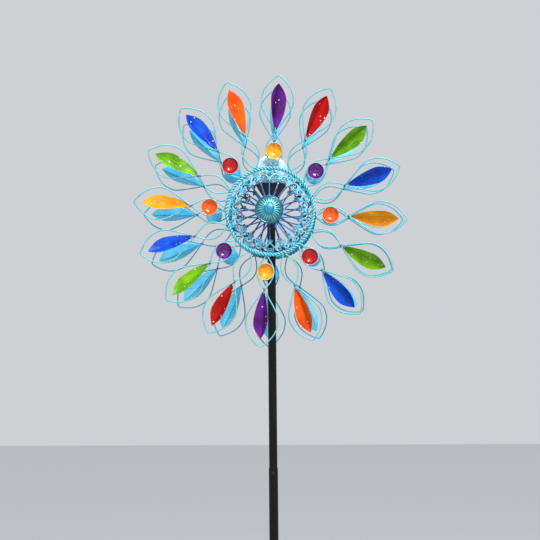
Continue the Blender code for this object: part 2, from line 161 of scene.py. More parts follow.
class Tone:
    """A number that varies over a surface. It wraps a node's socket, and arithmetic adds Math nodes."""

    def __init__(self, finish, socket):
        self.finish, self.socket = finish, socket

    def math(self, operation, *values):
        return self.finish.node("Math", {"operation": operation}, dict(enumerate(values)))["Value"]

    def __add__(self, other):
        return self.math("ADD", self, other)

    def __sub__(self, other):
        return self.math("SUBTRACT", self, other)

    def __rsub__(self, other):
        return self.math("SUBTRACT", other, self)

    def __mul__(self, other):
        return self.math("MULTIPLY", self, other)

    def __pow__(self, other):
        return self.math("POWER", self, other)

    def __abs__(self):
        return self.math("ABSOLUTE", self)

    __radd__ = __add__
    __rmul__ = __mul__

    def between(self, low, high):
        """0 at low, 1 at high and a soft step between them. High may be the smaller one."""
        values = {"Value": self, "From Min": low, "From Max": high}
        return self.finish.node("MapRange", {"interpolation_type": "SMOOTHSTEP"}, values)["Result"]


class Finish:
    """One material. Fixed values sit on the shader's own sockets, and nodes give what varies."""

    def __init__(self, name, fixed):
        self.material = bpy.data.materials.new(name)
        self.material.use_nodes = True
        self.tree = self.material.node_tree
        self.shader = self.tree.nodes["Principled BSDF"]
        for socket, value in fixed.items():
            self.feed(socket, value)
        self.place = self.node("TexCoord")["Object"]

    def put(self, socket, value):
        if isinstance(value, Tone):
            self.tree.links.new(value.socket, socket)
        elif socket.type == "RGBA":
            socket.default_value = (*value, 1.0)
        else:
            socket.default_value = value

    def feed(self, socket, value):
        self.put(self.shader.inputs[socket], value)

    def node(self, kind, settings=None, values=None):
        """Adds a node: its settings first, then the values or links of its sockets, which are named
        or numbered. Gives its outputs by name."""
        made = self.tree.nodes.new("ShaderNode" + kind)
        for key, value in (settings or {}).items():
            setattr(made, key, value)
        for key, value in (values or {}).items():
            live = [socket for socket in made.inputs if socket.enabled and socket.name == key]
            self.put(live[0] if live else made.inputs[key], value)
        return {socket.name: Tone(self, socket) for socket in made.outputs if socket.enabled}

    def noise(self, scale, detail=3, place=None):
        values = {"Vector": place or self.place, "Scale": scale, "Detail": detail}
        return self.node("TexNoise", None, values)["Fac"]

    def cells(self, scale, feature="F1"):
        """Random cells: each one's distance from its point or its edge, and its own random number."""
        made = self.node("TexVoronoi", {"feature": feature}, {"Vector": self.place, "Scale": scale})
        own = made.get("Color")
        return made["Distance"], own and self.node("SeparateColor", None, {"Color": own})["Red"]

    def stretched(self, factors):
        """The place on the piece with each axis multiplied, so that a pattern runs along one."""
        return self.node("Mapping", None, {"Vector": self.place, "Scale": factors})["Vector"]

    def mark(self, name):
        return self.node("Attribute", {"attribute_name": name}, {})["Fac"]

    def mix(self, share, first, second):
        """The first colour where the share is 0 and the second where it is 1."""
        values = {"Factor": share, "A": first, "B": second}
        return self.node("Mix", {"data_type": "RGBA"}, values)["Result"]

    def bump(self, height, depth):
        values = {"Height": height, "Distance": depth, "Strength": 1.0}
        self.feed("Normal", self.node("Bump", None, values)["Normal"])


def sheet(grid, ring=True, loop=False, skin=0):
    """One closed surface, as its points and faces, from a grid of rows by columns of points. A ring
    joins each row's end to its start, and a loop the last row to the first. An open end gets a fan.
    A point is x, y, z and then its marks. The faces are turned so that they hold a positive volume."""
    rows, columns, width = grid.shape
    index = np.arange(rows * columns).reshape(rows, columns)
    if loop:
        index = np.vstack([index, index[:1]])
    if ring:
        index = np.hstack([index, index[:, :1]])
    faces = np.stack([index[:-1, :-1], index[:-1, 1:], index[1:, 1:], index[1:, :-1]], axis=2)
    skins = np.broadcast_to(skin, faces.shape[:2]).ravel()
    faces = faces.reshape(-1, 4)
    points = grid.reshape(-1, width)
    if ring and not loop:
        points = np.vstack([points, grid[0].mean(axis=0), grid[-1].mean(axis=0)])
        none = np.full(columns, -1)
        first = np.stack([index[0, 1:], index[0, :-1], np.full(columns, rows * columns), none], axis=1)
        last = np.stack([index[-1, :-1], index[-1, 1:], np.full(columns, rows * columns + 1), none], axis=1)
        faces = np.vstack([faces, first, last])
        skins = np.concatenate([skins, skins[:columns], skins[-columns:]])
    place = points[:, :3] - points[:, :3].mean(axis=0)
    a, b, c = (place[faces[:, i]] for i in range(3))
    d = place[np.where(faces[:, 3] < 0, faces[:, 2], faces[:, 3])]
    if (np.cross(a, b) * c + np.cross(a, c) * d).sum() < 0:
        flipped = faces[:, ::-1]
        faces = np.where(faces[:, 3:] < 0, np.roll(flipped, -1, axis=1), flipped)
    return points, faces, skins


def piece(name, sheets, finishes, body, nodes=(), marks=(), sharp=50):
    """One smooth mesh of several sheets. It rides on a body, takes the finish of a slot and stands
    for CAD nodes. marks names what each point holds after its place."""
    starts = np.cumsum([0] + [len(points) for points, faces, skins in sheets])
    points = np.vstack([points for points, faces, skins in sheets])
    faces = np.vstack([np.where(faces < 0, -1, faces + start)
                       for (own, faces, skins), start in zip(sheets, starts)])
    sizes = (faces >= 0).sum(axis=1)
    corners = faces.ravel()[faces.ravel() >= 0]
    mesh = bpy.data.meshes.new(name)
    mesh.vertices.add(len(points))
    mesh.vertices.foreach_set("co", points[:, :3].astype(np.float32).ravel())
    mesh.loops.add(len(corners))
    mesh.loops.foreach_set("vertex_index", corners.astype(np.int32))
    mesh.polygons.add(len(faces))
    mesh.polygons.foreach_set("loop_start", (np.cumsum(sizes) - sizes).astype(np.int32))
    for finish in finishes:
        mesh.materials.append(finish.material)
    skins = np.concatenate([skins for own, faces, skins in sheets])
    mesh.polygons.foreach_set("material_index", skins.astype(np.int32))
    for i, mark in enumerate(marks):
        attribute = mesh.attributes.new(mark, "FLOAT", "POINT")
        attribute.data.foreach_set("value", points[:, 3 + i].astype(np.float32))
    mesh.update(calc_edges=True)
    mesh.shade_smooth()
    mesh.set_sharp_from_angle(angle=math.radians(sharp))
    made = bpy.data.objects.new(name, mesh)
    bpy.context.scene.collection.objects.link(made)
    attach(made, body)
    if nodes:
        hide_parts(*nodes)
    return made


def eased(corners, reach, steps=4, closed=True):
    """An outline with rounded corners: at each, a parabola from `reach` before it to `reach` after
    it, or from half way to its neighbours if they are nearer."""
    corners = np.asarray(corners, float)
    before, after = np.roll(corners, 1, axis=0), np.roll(corners, -1, axis=0)
    back, ahead = before - corners, after - corners
    back *= np.minimum(reach / np.linalg.norm(back, axis=1), 0.49)[:, None]
    ahead *= np.minimum(reach / np.linalg.norm(ahead, axis=1), 0.49)[:, None]
    t = np.linspace(0, 1, steps + 1)[None, :, None]
    line = corners[:, None] + back[:, None] * (1 - t) ** 2 + ahead[:, None] * t**2
    if closed:
        return line.reshape(-1, 2)
    return np.vstack([corners[:1], line[1:-1].reshape(-1, 2), corners[-1:]])


def turned(profile, sides, middle=(0, 0, 0), away=(0, 0, 1)):
    """A turned surface: each (radius, height) of the profile goes round the line through `middle`
    along `away`, which is one of the three axes."""
    radius, height = np.asarray(profile, float).T[:, :, None]
    angle = np.linspace(0, 2 * np.pi, sides, endpoint=False)
    away = np.asarray(away, float)
    first = np.roll(away, 1)
    second = np.cross(away, first)
    spread = np.cos(angle)[:, None] * first + np.sin(angle)[:, None] * second
    return np.asarray(middle) + radius[:, :, None] * spread + height[:, :, None] * away


def powder_coat(name, dust_top):
    """Satin black powder coat, dusty over the last 0.3 m above dust_top's height and below."""
    coat = Finish(name, {"Specular IOR Level": 0.25})
    peel = coat.noise(1100, 2)
    blotches = coat.noise(14, 4)
    rubbed = coat.noise(160, 2, coat.stretched((1.0, 1.0, 0.03))).between(0.66, 0.76)
    height = coat.node("SeparateXYZ", None, {"Vector": coat.place})["Z"]
    dust = height.between(dust_top, dust_top - 0.3) * coat.noise(70, 5).between(0.38, 0.68)
    colour = coat.mix(blotches.between(0.3, 0.7), display(5, 5, 6), display(12, 12, 14))
    colour = coat.mix(rubbed * 0.25, colour, display(58, 60, 62))
    coat.feed("Base Color", coat.mix(dust * 0.5, colour, display(112, 98, 80)))
    coat.feed("Roughness", 0.40 + blotches * 0.14 + dust * 0.3)
    coat.bump(peel + rubbed * 0.5, 0.00012)
    return coat


tube_wall = 0.0007
tube_lip = 0.0003
pole_coat = powder_coat("black_powder_coat", 0.30)
for section in ("upper", "middle", "lower"):
    low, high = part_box("pole_" + section)
    radius = (high.y - low.y) / 2
    bore = radius - tube_wall
    outline = eased(
        [(radius - tube_lip, high.z), (radius, high.z - 0.0012), (radius, high.z - 0.006),
         (radius, low.z + 0.001), (radius - tube_lip, low.z), (bore, low.z), (bore, high.z)], 0.0005,
    )
    piece(f"pole_{section}_tube", [sheet(turned(outline, 64), loop=True)], [pole_coat], "stand",
          [f"pole_{section}"])

# ------------------------------
# Pole screws. Blackened pan-head machine screws with a cross recess. One runs through each joint
# of the pole and bites into the inner tube.


def zinc_plate(name, stain, dark, pale):
    """Plated steel between two tones: a faint crystal pattern, fine scratches, and a white bloom as
    strong as `stain`."""
    plate = Finish(name, {"Metallic": 1.0, "Specular IOR Level": 0.5})
    _, crystal = plate.cells(900)
    scratch = plate.noise(700, 2, plate.stretched((1.0, 0.08, 1.0)))
    bloom = plate.noise(260, 5).between(0.52, 0.72) * stain
    colour = plate.mix(crystal, dark, pale)
    plate.feed("Base Color", plate.mix(bloom, colour, display(150, 146, 136)))
    plate.feed("Roughness", 0.22 + scratch * 0.16 + bloom * 0.4)
    plate.bump(scratch + bloom, 0.00006)
    return plate


black_plate = zinc_plate("black_plate", 0.25, display(44, 44, 46), display(78, 76, 76))
recess_reach = 0.0021
recess_half_width = 0.00042
recess_depth = 0.0011
for word in ("upper", "lower"):
    low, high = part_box("pole_screw_" + word)
    head_radius = (high.x - low.x) / 2
    head_top = -low.y
    head_base = head_top - 0.0022
    middle_z = (low.z + high.z) / 2
    rim = eased([(0.0002, head_top), (0.0024, head_top - 0.0001), (head_radius, head_top - 0.0013),
                 (head_radius, head_base), (0.0019, head_base), (0.0019, -high.y)], 0.0008, 6, False)
    face = np.linspace(0.0002, 0.0024, 16)[:, None] * [1, 0] + [0, head_top]
    grid = turned(np.vstack([face, rim[1:]]), 64, (0, 0, middle_z), (0, -1, 0))
    east, up = grid[..., 0], grid[..., 2] - middle_z
    arm = np.minimum(abs(east), abs(up))
    far = np.hypot(east, up)
    # A cross: sunk where either arm's axis is nearer than its half width, with sloping walls.
    sunk = np.clip((recess_half_width - arm) / 0.00015 + 0.5, 0, 1)
    sunk = sunk * np.clip((recess_reach - far) / 0.0004, 0, 1)
    grid[:, :, 1] += np.where(np.arange(len(grid))[:, None] < len(face), recess_depth * sunk, 0)
    piece("pole_screw_head_" + word, [sheet(grid)], [black_plate], "stand",
          ["pole_screw_" + word], sharp=35)

# ------------------------------
# Ground stake. A solid steel plug with a long point, pushed up into the foot of the pole, and a bar
# bent into two legs that is welded behind it and stops the pole turning. Powder coated, soiled.

stake_coat = powder_coat("black_powder_coat_soiled", 0.10)
low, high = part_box("ground_spike")
stake_radius = (high.x - low.x) / 2
plug_radius = stake_radius - 0.0010
outline = eased(
    [(0.0001, high.z), (plug_radius, high.z), (plug_radius, -0.0003), (stake_radius, -0.0003),
     (stake_radius, -0.010), (0.0080, -0.016), (0.0077, -0.10), (0.0075, low.z + 0.05),
     (0.0012, low.z), (0.0001, low.z)], 0.0012, 5, False,
)
grid = turned(outline, 64)
# The point is forged: four flats, 0.5 mm deep, run down it.
four_sided = np.cos(4 * np.arctan2(grid[..., 1], grid[..., 0]))
flats = 1 - 0.07 * four_sided * np.clip((-0.11 - grid[..., 2]) / 0.05, 0, 1)
grid[..., :2] *= flats[..., None]
piece("ground_stake_spike", [sheet(grid)], [stake_coat], "stand", ["ground_spike"])


def wire(path, radius, sides=8, closed=False, axis=(0, 1, 0), flat=1.0):
    """Round wire along a path: at each point a circle across the path, starting on the side that
    `axis` points to. flat below 1 thins it on that axis. Its marks are how squarely the surface
    faces along the axis, from -1 to 1, and how far along the wire it is, from 0 to 1."""
    path = np.asarray(path, float)
    ahead = np.roll(path, -1, axis=0) - np.roll(path, 1, axis=0)
    if not closed:
        ahead[0], ahead[-1] = path[1] - path[0], path[-1] - path[-2]
    ahead /= np.linalg.norm(ahead, axis=1)[:, None]
    out = np.asarray(axis, float) - ahead * (ahead @ np.asarray(axis, float))[:, None]
    out /= np.linalg.norm(out, axis=1)[:, None]
    across = np.cross(ahead, out)
    turn = np.linspace(0, 2 * np.pi, sides, endpoint=False)[:, None]
    spread = flat * np.cos(turn) * out[:, None] + np.sin(turn) * across[:, None]
    radius = np.broadcast_to(radius, len(path))[:, None, None]
    shape = (len(path), sides, 1)
    facing = np.broadcast_to(np.cos(turn), shape)
    along = np.broadcast_to(np.linspace(0, 1, len(path))[:, None, None], shape)
    return np.concatenate([path[:, None] + radius * spread, facing, along], axis=2)


low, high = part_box("ground_fork")
bar = (high.y - low.y) / 2
half_span = high.x - bar
behind = (low.y + high.y) / 2
shoulder = high.z - bar
corners = np.array([(-half_span, low.z), (-half_span, shoulder), (half_span, shoulder), (half_span, low.z)])
outline = eased(corners, 0.014, 12, False)
left_leg, bridge, right_leg = (
    np.linspace(a, b, 12)[:-1] for a, b in zip(outline[:-1], outline[1:]) if np.hypot(*(b - a)) > 0.02)
path = np.vstack([left_leg, outline[1:14], bridge[1:], outline[14:27], right_leg[1:], outline[-1:]])
fork_path = np.stack([path[:, 0], np.full(len(path), behind), path[:, 1]], axis=1)
from_tip = np.minimum(np.arange(len(path)), np.arange(len(path))[::-1])
point_length = 4
taper = bar * np.clip(0.15 + 0.85 * from_tip / point_length, 0, 1)
piece("ground_stake_fork", [sheet(wire(fork_path, taper, 20))], [stake_coat], "stand",
      ["ground_fork"], ("facing", "along"))

# ------------------------------
# Axle. A zinc-plated steel rod in a black tube that is welded across the head of the pole. Each end
# is threaded for the lock nut that keeps its wheel's bearing on.

thread_pitch = 0.0010
thread_depth = 0.0003
thread_length = 0.016
low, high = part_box("axle_shaft")
axle_radius = (high.x - low.x) / 2
axle_end = high.y
height = np.linspace(-axle_end, axle_end, 720)
radius = np.full(len(height), axle_radius)
radius[0] = radius[-1] = axle_radius - 0.0009
grid = turned(np.stack([radius, height], axis=1), 32, (0, 0, axle_height), (0, 1, 0))
# The thread: over each end, the radius dips and comes back once in each pitch, one turn per pitch.
turn = np.arange(32) / 32
thread = abs((height[:, None] / thread_pitch + turn) % 1 - 0.5) * 2
near_end = np.clip((abs(height) - axle_end + thread_length) / 0.001, 0, 1)[:, None]
shrink = 1 - thread_depth / axle_radius * thread * near_end
grid[..., 0] *= shrink
grid[..., 2] = axle_height + (grid[..., 2] - axle_height) * shrink
zinc = zinc_plate("zinc_plate", 0.5, display(176, 180, 184), display(214, 216, 218))
piece("axle_rod", [sheet(grid)], [zinc], "stand", ["axle_shaft"])

low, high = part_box("axle_cross_tube")
cross_radius = (high.x - low.x) / 2
outline = eased(
    [(cross_radius, high.y), (cross_radius, 0.0130), (cross_radius, -0.0130), (cross_radius, low.y),
     (axle_radius + 0.0003, low.y), (axle_radius + 0.0003, high.y)], 0.0006,
)
piece("axle_sleeve_tube", [sheet(turned(outline, 48, (0, 0, axle_height), (0, 1, 0)), loop=True)],
      [pole_coat], "stand", ["axle_cross_tube"])

# ------------------------------
# Lock nuts and bearings, one of each for each wheel. The nut is a plated hexagon with turned corners
# and a nylon collar. The bearing is a shielded ball race, pressed into the sleeve that the wheel's
# filigree is riveted to.


def hexagon(across_corners, start, end, side, bore, middle):
    """A nut. Its outline is a hexagon, cut back by a cone near both faces, so that at each angle the
    radius is the smaller of the hexagon's and the cone's."""
    angle = np.linspace(0, 2 * np.pi, 96, endpoint=False)
    apothem = across_corners / 2 * math.cos(math.pi / 6)
    flat_sided = apothem / np.cos((angle + math.pi / 6) % (math.pi / 3) - math.pi / 6)
    height = np.linspace(start, end, 14)
    from_face = np.minimum(height - start, end - height)
    cone = apothem * 0.96 + 1.7 * from_face
    outer = np.minimum(flat_sided, cone[:, None])
    inner = np.full((2, 96), bore)
    radius = np.vstack([inner[:1], outer[:1] * 0.8, outer, outer[-1:] * 0.78, inner[:1]])
    heights = np.concatenate([[start, start], height, [end, end]])
    return np.stack([
        radius * np.sin(angle), np.broadcast_to(side * heights[:, None], radius.shape),
        middle + radius * np.cos(angle)], axis=2)


nylon = Finish("nylon_collar", {"Specular IOR Level": 0.4, "Subsurface Weight": 0.15})
nylon.feed("Base Color", nylon.mix(nylon.noise(500, 4), display(60, 105, 160), display(95, 140, 190)))
nylon.feed("Roughness", 0.45 + nylon.noise(900) * 0.2)
nylon.bump(nylon.noise(1500), 0.00005)

shield = Finish("bearing_shield", {"Metallic": 1.0})
grease = shield.noise(400, 5).between(0.5, 0.7)
shield.feed("Base Color", shield.mix(grease, display(168, 170, 172), display(120, 108, 84)))
shield.feed("Roughness", 0.25 + grease * 0.35)
shield.bump(shield.noise(900, 2, shield.stretched((1, 0.1, 1))), 0.00005)

sides = {"front": -1, "rear": 1}
for word, side in sides.items():
    low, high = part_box(word + "_lock_nut")
    start, end = sorted((abs(low.y), abs(high.y)))
    corners_width = max(high.x - low.x, high.z - low.z)
    steel_end = end - 0.0018
    piece(word + "_lock_nut_hexagon",
          [sheet(hexagon(corners_width, start, steel_end, side, axle_radius + 0.0002, axle_height),
                 loop=True)],
          [zinc], "stand", [word + "_lock_nut"], sharp=25)
    collar = eased([(axle_radius + 0.0001, steel_end), (0.0054, steel_end), (0.0052, end),
                    (axle_radius + 0.0001, end)], 0.0004)
    piece(word + "_lock_nut_collar",
          [sheet(turned(collar, 48, (0, 0, axle_height), (0, side, 0)), loop=True)], [nylon], "stand")

    low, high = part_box(word + "_bearing")
    start, end = sorted((abs(low.y), abs(high.y)))
    outer_radius = (high.x - low.x) / 2
    race = eased([(axle_radius + 0.0003, start), (0.0062, start), (0.0064, start + 0.0004),
                  (0.0088, start + 0.0004), (0.0090, start), (outer_radius, start), (outer_radius, end),
                  (0.0090, end), (0.0088, end - 0.0004), (0.0064, end - 0.0004), (0.0062, end),
                  (axle_radius + 0.0003, end)], 0.0003)
    piece(word + "_bearing_race",
          [sheet(turned(race, 64, (0, 0, axle_height), (0, side, 0)), loop=True)], [shield],
          word + "_wheel", [word + "_bearing"])

# ------------------------------
# Hub rings. Each wheel is built on a ring of two thick steel wires twisted into a rope and welded
# end to end. It is sprayed turquoise, with painted highlights on the strands and painted shade in the
# grooves between them.

ring_radius = 0.0980        # centre line of the rope
ring_away = 0.050           # from the pole's axis to the plane of the ring
strand_count = 2
strand_radius = 0.0023
strand_offset = 0.0021
strand_turns = 42
strand_points = 20          # per turn
# Painted shade in the grooves: nearer the rope's axis than groove_rim the paint is darkened, darkest
# groove_depth deeper.
groove_rim = 0.0040         # nearer to the rope's own axis than this, the paint darkens
groove_depth = 0.0018       # and this much deeper it is darkest


def wheel_point(angle, radius, away, side):
    """Points at a clockwise angle and a radius about the axle, and `away` from the pole's axis on
    one side: x = radius sin(angle), y = side times away, z = axle + radius cos(angle)."""
    x, y, z = np.broadcast_arrays(
        radius * np.sin(angle), side * np.asarray(away, float), axle_height + radius * np.cos(angle))
    return np.stack([x, y, z], axis=-1)


def airbrushed(name, crest, flank, groove, groove_mark, contrast=1.0, flake=0.15):
    """Sprayed metallic paint in mottled tones, with a painted highlight on the side that faces out and
    painted shade on the flanks, as strong as `contrast`. It is worn through to a pale edge in places, and
    darkened where groove_mark shows: painted shade in the rope's grooves, and weld scorch on the wires."""
    paint = Finish(name, {"Metallic": 0.3, "Specular IOR Level": 0.3, "Coat Weight": 0.08,
                          "Coat Roughness": 0.25})
    facing = paint.mark("facing")
    cloud = paint.noise(32, 3)
    _, sparkle = paint.cells(2600)
    # Painted highlight and shade: the crest colour on the side that faces out, the flank colour on the sides,
    # mixed with random mottling.
    light = (facing * contrast + (cloud - 0.5) * 1.6).between(-0.7, 0.9)
    colour = paint.mix(light, flank, crest)
    # Painted shade in the rope's grooves; on the wires the same mark is the real scorch round the welds.
    groove_shade_and_scorch = paint.mark(groove_mark) * (0.6 + paint.noise(130, 4) * 0.8)
    colour = paint.mix(groove_shade_and_scorch.between(0.25, 0.95), colour, groove)
    worn = (paint.noise(320, 5) + facing * 0.08).between(0.66, 0.74)
    colour = paint.mix(worn * 0.4, colour, display(214, 238, 226))
    paint.feed("Base Color", paint.mix(sparkle.between(0.9, 1.0) * flake, colour, display(235, 250, 255)))
    paint.feed("Roughness", 0.42 + cloud * 0.15 + worn * 0.2)
    paint.bump(paint.noise(650, 3) + worn * 0.5, 0.00005)
    return paint


# Painted highlight on the strands' outer faces, painted shade on their flanks, and the darkest painted shade
# in the grooves.
rope_paint = airbrushed("turquoise_rope_paint", display(98, 194, 216), display(36, 134, 164),
                        display(4, 44, 62), "groove")
for word, side in sides.items():
    strands = []
    for start in np.arange(strand_count) * 2 * math.pi / strand_count:
        angle = np.linspace(0, 2 * np.pi, strand_turns * strand_points, endpoint=False)
        phase = strand_turns * angle + start
        path = wheel_point(angle, ring_radius + strand_offset * np.cos(phase),
                           ring_away + strand_offset * np.sin(phase), side)
        grid = wire(path, strand_radius, 10, True, (0, side, 0))
        ring_line = wheel_point(angle, ring_radius, ring_away, side)[:, None]
        out = np.linalg.norm(grid[..., :3] - ring_line, axis=2)
        # Between strands the surface comes nearer to the rope's own axis: that is the groove, and this mark
        # paints shade into it.
        grid[..., 4] = np.clip((groove_rim - out) / groove_depth, 0, 1)
        strands.append(sheet(grid, loop=True))
    piece(word + "_rope_ring", strands, [rope_paint], word + "_wheel",
          [word + "_wheel_frame"], ("facing", "groove"))

# ------------------------------
# Wire loops. Each of a wheel's sixteen figures of eight is one bent steel wire, butt welded to the
# outside of the rope ring and spot welded where it crosses itself. Mottled turquoise and mint, paler
# on the side that faces out as a painted highlight.

wheel_turn = {"front": math.radians(4.5), "rear": math.radians(2.0)}
petal_count = 16
wheel_radius = 0.305
tip_radius = 0.3062         # where a loop's strands would meet if its tip weren't rounded
tip_away = 0.070
wire_radius = 0.0015
loop_start = 0.1000
loop_waist = 0.1775
inner_half_width = 0.0187
outer_half_width = 0.0362
widest = 0.53               # how far along the outer lobe it is widest
strand_gap = 0.0017         # each strand's distance from the other's middle where they cross


def dish(radius):
    """How far the wheel's surface stands from the pole's axis, growing evenly from ring to tips."""
    return ring_away + (tip_away - ring_away) * (radius - ring_radius) / (wheel_radius - ring_radius)


def loop_path(angle, side):
    """A figure of eight. The inner lobe is half a sine wave. The outer one swells as 1.2 s - 0.2 s^6
    to its widest, and falls as 1 - u^2.35 to its pointed tip. One strand passes in front of the
    other at the waist. Neighbouring points are averaged twice, as a bent wire has no corner."""
    t = np.linspace(0, 1, 36, endpoint=False)
    inner_radius = loop_start + t * (loop_waist - loop_start)
    inner_across = -inner_half_width * np.sin(np.pi * t)
    t = np.linspace(0, 1, 75)
    swell = 1.2 * (t / widest) - 0.2 * (t / widest) ** 6
    fall = 1 - (np.clip(t - widest, 0, 1) / (1 - widest)) ** 2.35
    outer_radius = loop_waist + t * (tip_radius - loop_waist)
    outer_across = outer_half_width * np.where(t < widest, swell, fall)
    radius = np.concatenate([inner_radius, outer_radius])
    across = np.concatenate([inner_across, outer_across])
    shift = strand_gap * np.exp(-(((radius - loop_waist) / 0.009) ** 2))
    radius = np.concatenate([radius, radius[-2:0:-1]])
    across = np.concatenate([across, -across[-2:0:-1]])
    shift = np.concatenate([shift, -shift[-2:0:-1]])
    path = wheel_point(angle, radius, dish(radius) + shift, side)
    path += across[:, None] * np.array([math.cos(angle), 0, -math.sin(angle)])
    for _ in range(2):
        path = (np.roll(path, 1, axis=0) + 2 * path + np.roll(path, -1, axis=0)) / 4
    return path


def petal_angles(word):
    return wheel_turn[word] + 2 * np.pi * np.arange(petal_count) / petal_count


# A weak painted highlight: the side that faces out leans to the mint colour.
wire_paint = airbrushed("turquoise_wire_paint", display(120, 200, 202), display(60, 150, 174),
                        display(16, 38, 46), "scorched", 0.3, 0.05)
for word, side in sides.items():
    loops = []
    for angle in petal_angles(word):
        grid = wire(loop_path(angle, side), wire_radius, 8, True, (0, side, 0))
        waist = wheel_point(angle, loop_waist, dish(loop_waist), side)
        from_waist = np.linalg.norm(grid[..., :3] - waist, axis=2)
        from_axle = np.hypot(grid[..., 0], grid[..., 2] - axle_height)
        # The welds darken the paint for a few millimetres round them.
        grid[..., 4] = np.maximum(1 - from_waist / 0.008, 1 - abs(from_axle - loop_start) / 0.006)
        grid[..., 4] = np.clip(grid[..., 4], 0, 1)
        loops.append(sheet(grid, loop=True))
    piece(word + "_wire_loops", loops, [wire_paint], word + "_wheel",
          [word + "_wheel_frame"], ("facing", "scorched"))

# ------------------------------
# Weld beads. A blackened blob of weld metal ties each loop's two strands at the waist and holds the
# petal's stem, and a smaller one joins each loop to the rope ring.

waist_bead = 0.0027
ring_bead = 0.0024


def bead(middle, size, seed):
    """A lumpy ball: its radius swells and shrinks by a tenth with the sines of its two angles."""
    down = np.linspace(0.12, np.pi - 0.12, 9)[:, None]
    turn = np.linspace(0, 2 * np.pi, 14, endpoint=False)
    lumps = 1 + 0.10 * np.sin(3 * turn + seed) * np.sin(2 * down + 2 * seed) + 0.05 * np.sin(5 * turn - seed)
    radius = size * lumps
    return middle + np.stack([radius * np.sin(down) * np.cos(turn), radius * np.cos(down) * np.ones(14) * 0.9,
                              radius * np.sin(down) * np.sin(turn)], axis=2)


weld = Finish("weld_bead", {"Metallic": 0.6})
ripple = weld.noise(700, 4)
weld.feed("Base Color", weld.mix(ripple.between(0.4, 0.7), display(24, 44, 58), display(70, 104, 118)))
weld.feed("Roughness", 0.35 + ripple * 0.3)
weld.bump(ripple, 0.0003)
for word, side in sides.items():
    beads = []
    for i, angle in enumerate(petal_angles(word)):
        waist = wheel_point(angle, loop_waist, dish(loop_waist), side)
        root = wheel_point(angle, loop_start + 0.001, dish(loop_start), side)
        beads += [sheet(bead(waist, waist_bead, i)), sheet(bead(root, ring_bead, i + 40))]
    piece(word + "_weld_beads", beads, [weld], word + "_wheel", [word + "_wheel_frame"])

# ------------------------------
# Petals. Each is a pressed steel leaf, folded along its middle and pitched to the wind, held by a
# crimped stem in the waist of its loop. The face is fired in a speckled glass enamel over a pale
# rolled edge, which is also a painted edge highlight, with painted shade in the crease and at the
# root. The back is sprayed sky blue, with painted shade along its crease.

petal_root = 0.1815
petal_tip = 0.287
petal_half_width = 0.0200
petal_pitch = math.radians(35)
petal_fold = 0.52
petal_widest = 0.66         # how far along it a petal is widest
petal_sheet = 0.0009
petal_columns = 27          # across the face, and as many over the back


def petal_grid(angle, side):
    """A leaf as one closed grid: rows from root to tip, and columns over the face and back under it.
    Its half width grows as a quarter of a sine wave to the power 0.85, to its widest, and falls as
    1 - u^1.9 to the tip. Across it both halves rise from the crease to the edge, and the last
    fourteenth curls forward. Its marks are across and along."""
    along = np.linspace(0, 1, 72)[:, None]
    across = np.concatenate([np.linspace(-1, 1, petal_columns), np.linspace(1, -1, petal_columns)])
    face = np.repeat([0.5, -0.5], petal_columns)
    swell = np.sin(np.pi / 2 * np.minimum(along / petal_widest, 1)) ** 0.85
    fall = 1 - np.clip((along - petal_widest) / (1 - petal_widest), 0, 1) ** 1.9
    half_width = 0.0008 + petal_half_width * swell * fall
    radius = petal_root + along * (petal_tip - petal_root)
    crease = np.sqrt(across**2 + 0.05**2)
    curl = 0.0006 * np.clip((abs(across) - 0.93) / 0.07, 0, 1) ** 2
    buckle = 0.0005 * np.sin(9 * along + 3 * across + 7 * angle) * np.sin(np.pi * along)
    forward = petal_fold * half_width * (crease - 0.5) + curl + buckle
    sheet_half = petal_sheet * face * (1 - 0.6 * np.clip((abs(across) - 0.97) / 0.03, 0, 1))
    forward = forward + sheet_half
    sideways = across * half_width
    cos_pitch, sin_pitch = math.cos(petal_pitch), math.sin(petal_pitch)
    away = dish(radius) + forward * cos_pitch + sideways * sin_pitch
    tangent = forward * sin_pitch - sideways * cos_pitch
    place = wheel_point(angle, radius, away, side)
    place = place + tangent[..., None] * np.array([math.cos(angle), 0, -math.sin(angle)])
    marks = np.stack(np.broadcast_arrays(across, along), axis=2)
    return np.concatenate([place, marks], axis=2)


def glass_enamel(name, middle, deep, light):
    """Fired enamel: streaks along the leaf, painted shade in the crease and at the root, pale flecks of
    glass, a fine glitter, and a thin pale edge that is partly bare metal where the glass ran off the rim
    and partly a painted edge highlight."""
    enamel = Finish(name, {"Specular IOR Level": 0.2, "Coat Weight": 0.1, "Coat Roughness": 0.1})
    across, along = enamel.mark("across"), enamel.mark("along")
    drift = enamel.node("CombineXYZ", None, {"X": across * 9 + enamel.noise(30) * 2, "Y": along * 3})
    streak = enamel.noise(1.0, 4, drift["Vector"])
    cloud = enamel.noise(28, 5)
    colour = enamel.mix(cloud.between(0.30, 0.72), deep, middle)
    colour = enamel.mix(streak.between(0.52, 0.78) * 0.4, colour, light)
    # Painted shade along the crease.
    colour = enamel.mix(abs(across).between(0.14, 0.0) * 0.7, colour, deep)
    # Painted shade towards the root, where the stem and the loop's waist cross it.
    colour = enamel.mix(along.between(0.16, 0.0) * 0.6, colour, deep)
    near, chance = enamel.cells(120)
    fleck = near.between(0.20, 0.12) * chance.between(0.68, 0.72)
    colour = enamel.mix(fleck * 0.9, colour, display(232, 236, 248))
    _, sparkle = enamel.cells(1500)
    colour = enamel.mix(sparkle.between(0.90, 1.0) * 0.35, colour, light)
    # The pale edge: partly bare metal, partly a painted edge highlight.
    edge = (abs(across) + (enamel.noise(160) - 0.5) * 0.06).between(0.945, 0.985)
    enamel.feed("Base Color", enamel.mix(edge * 0.6, colour, display(190, 200, 196)))
    enamel.feed("Roughness", 0.26 + cloud * 0.18 + edge * 0.2)
    enamel.feed("Metallic", sparkle.between(0.90, 1.0) * 0.3 + edge * 0.3)
    enamel.bump(enamel.noise(240, 4) + fleck * 0.8, 0.00012)
    return enamel


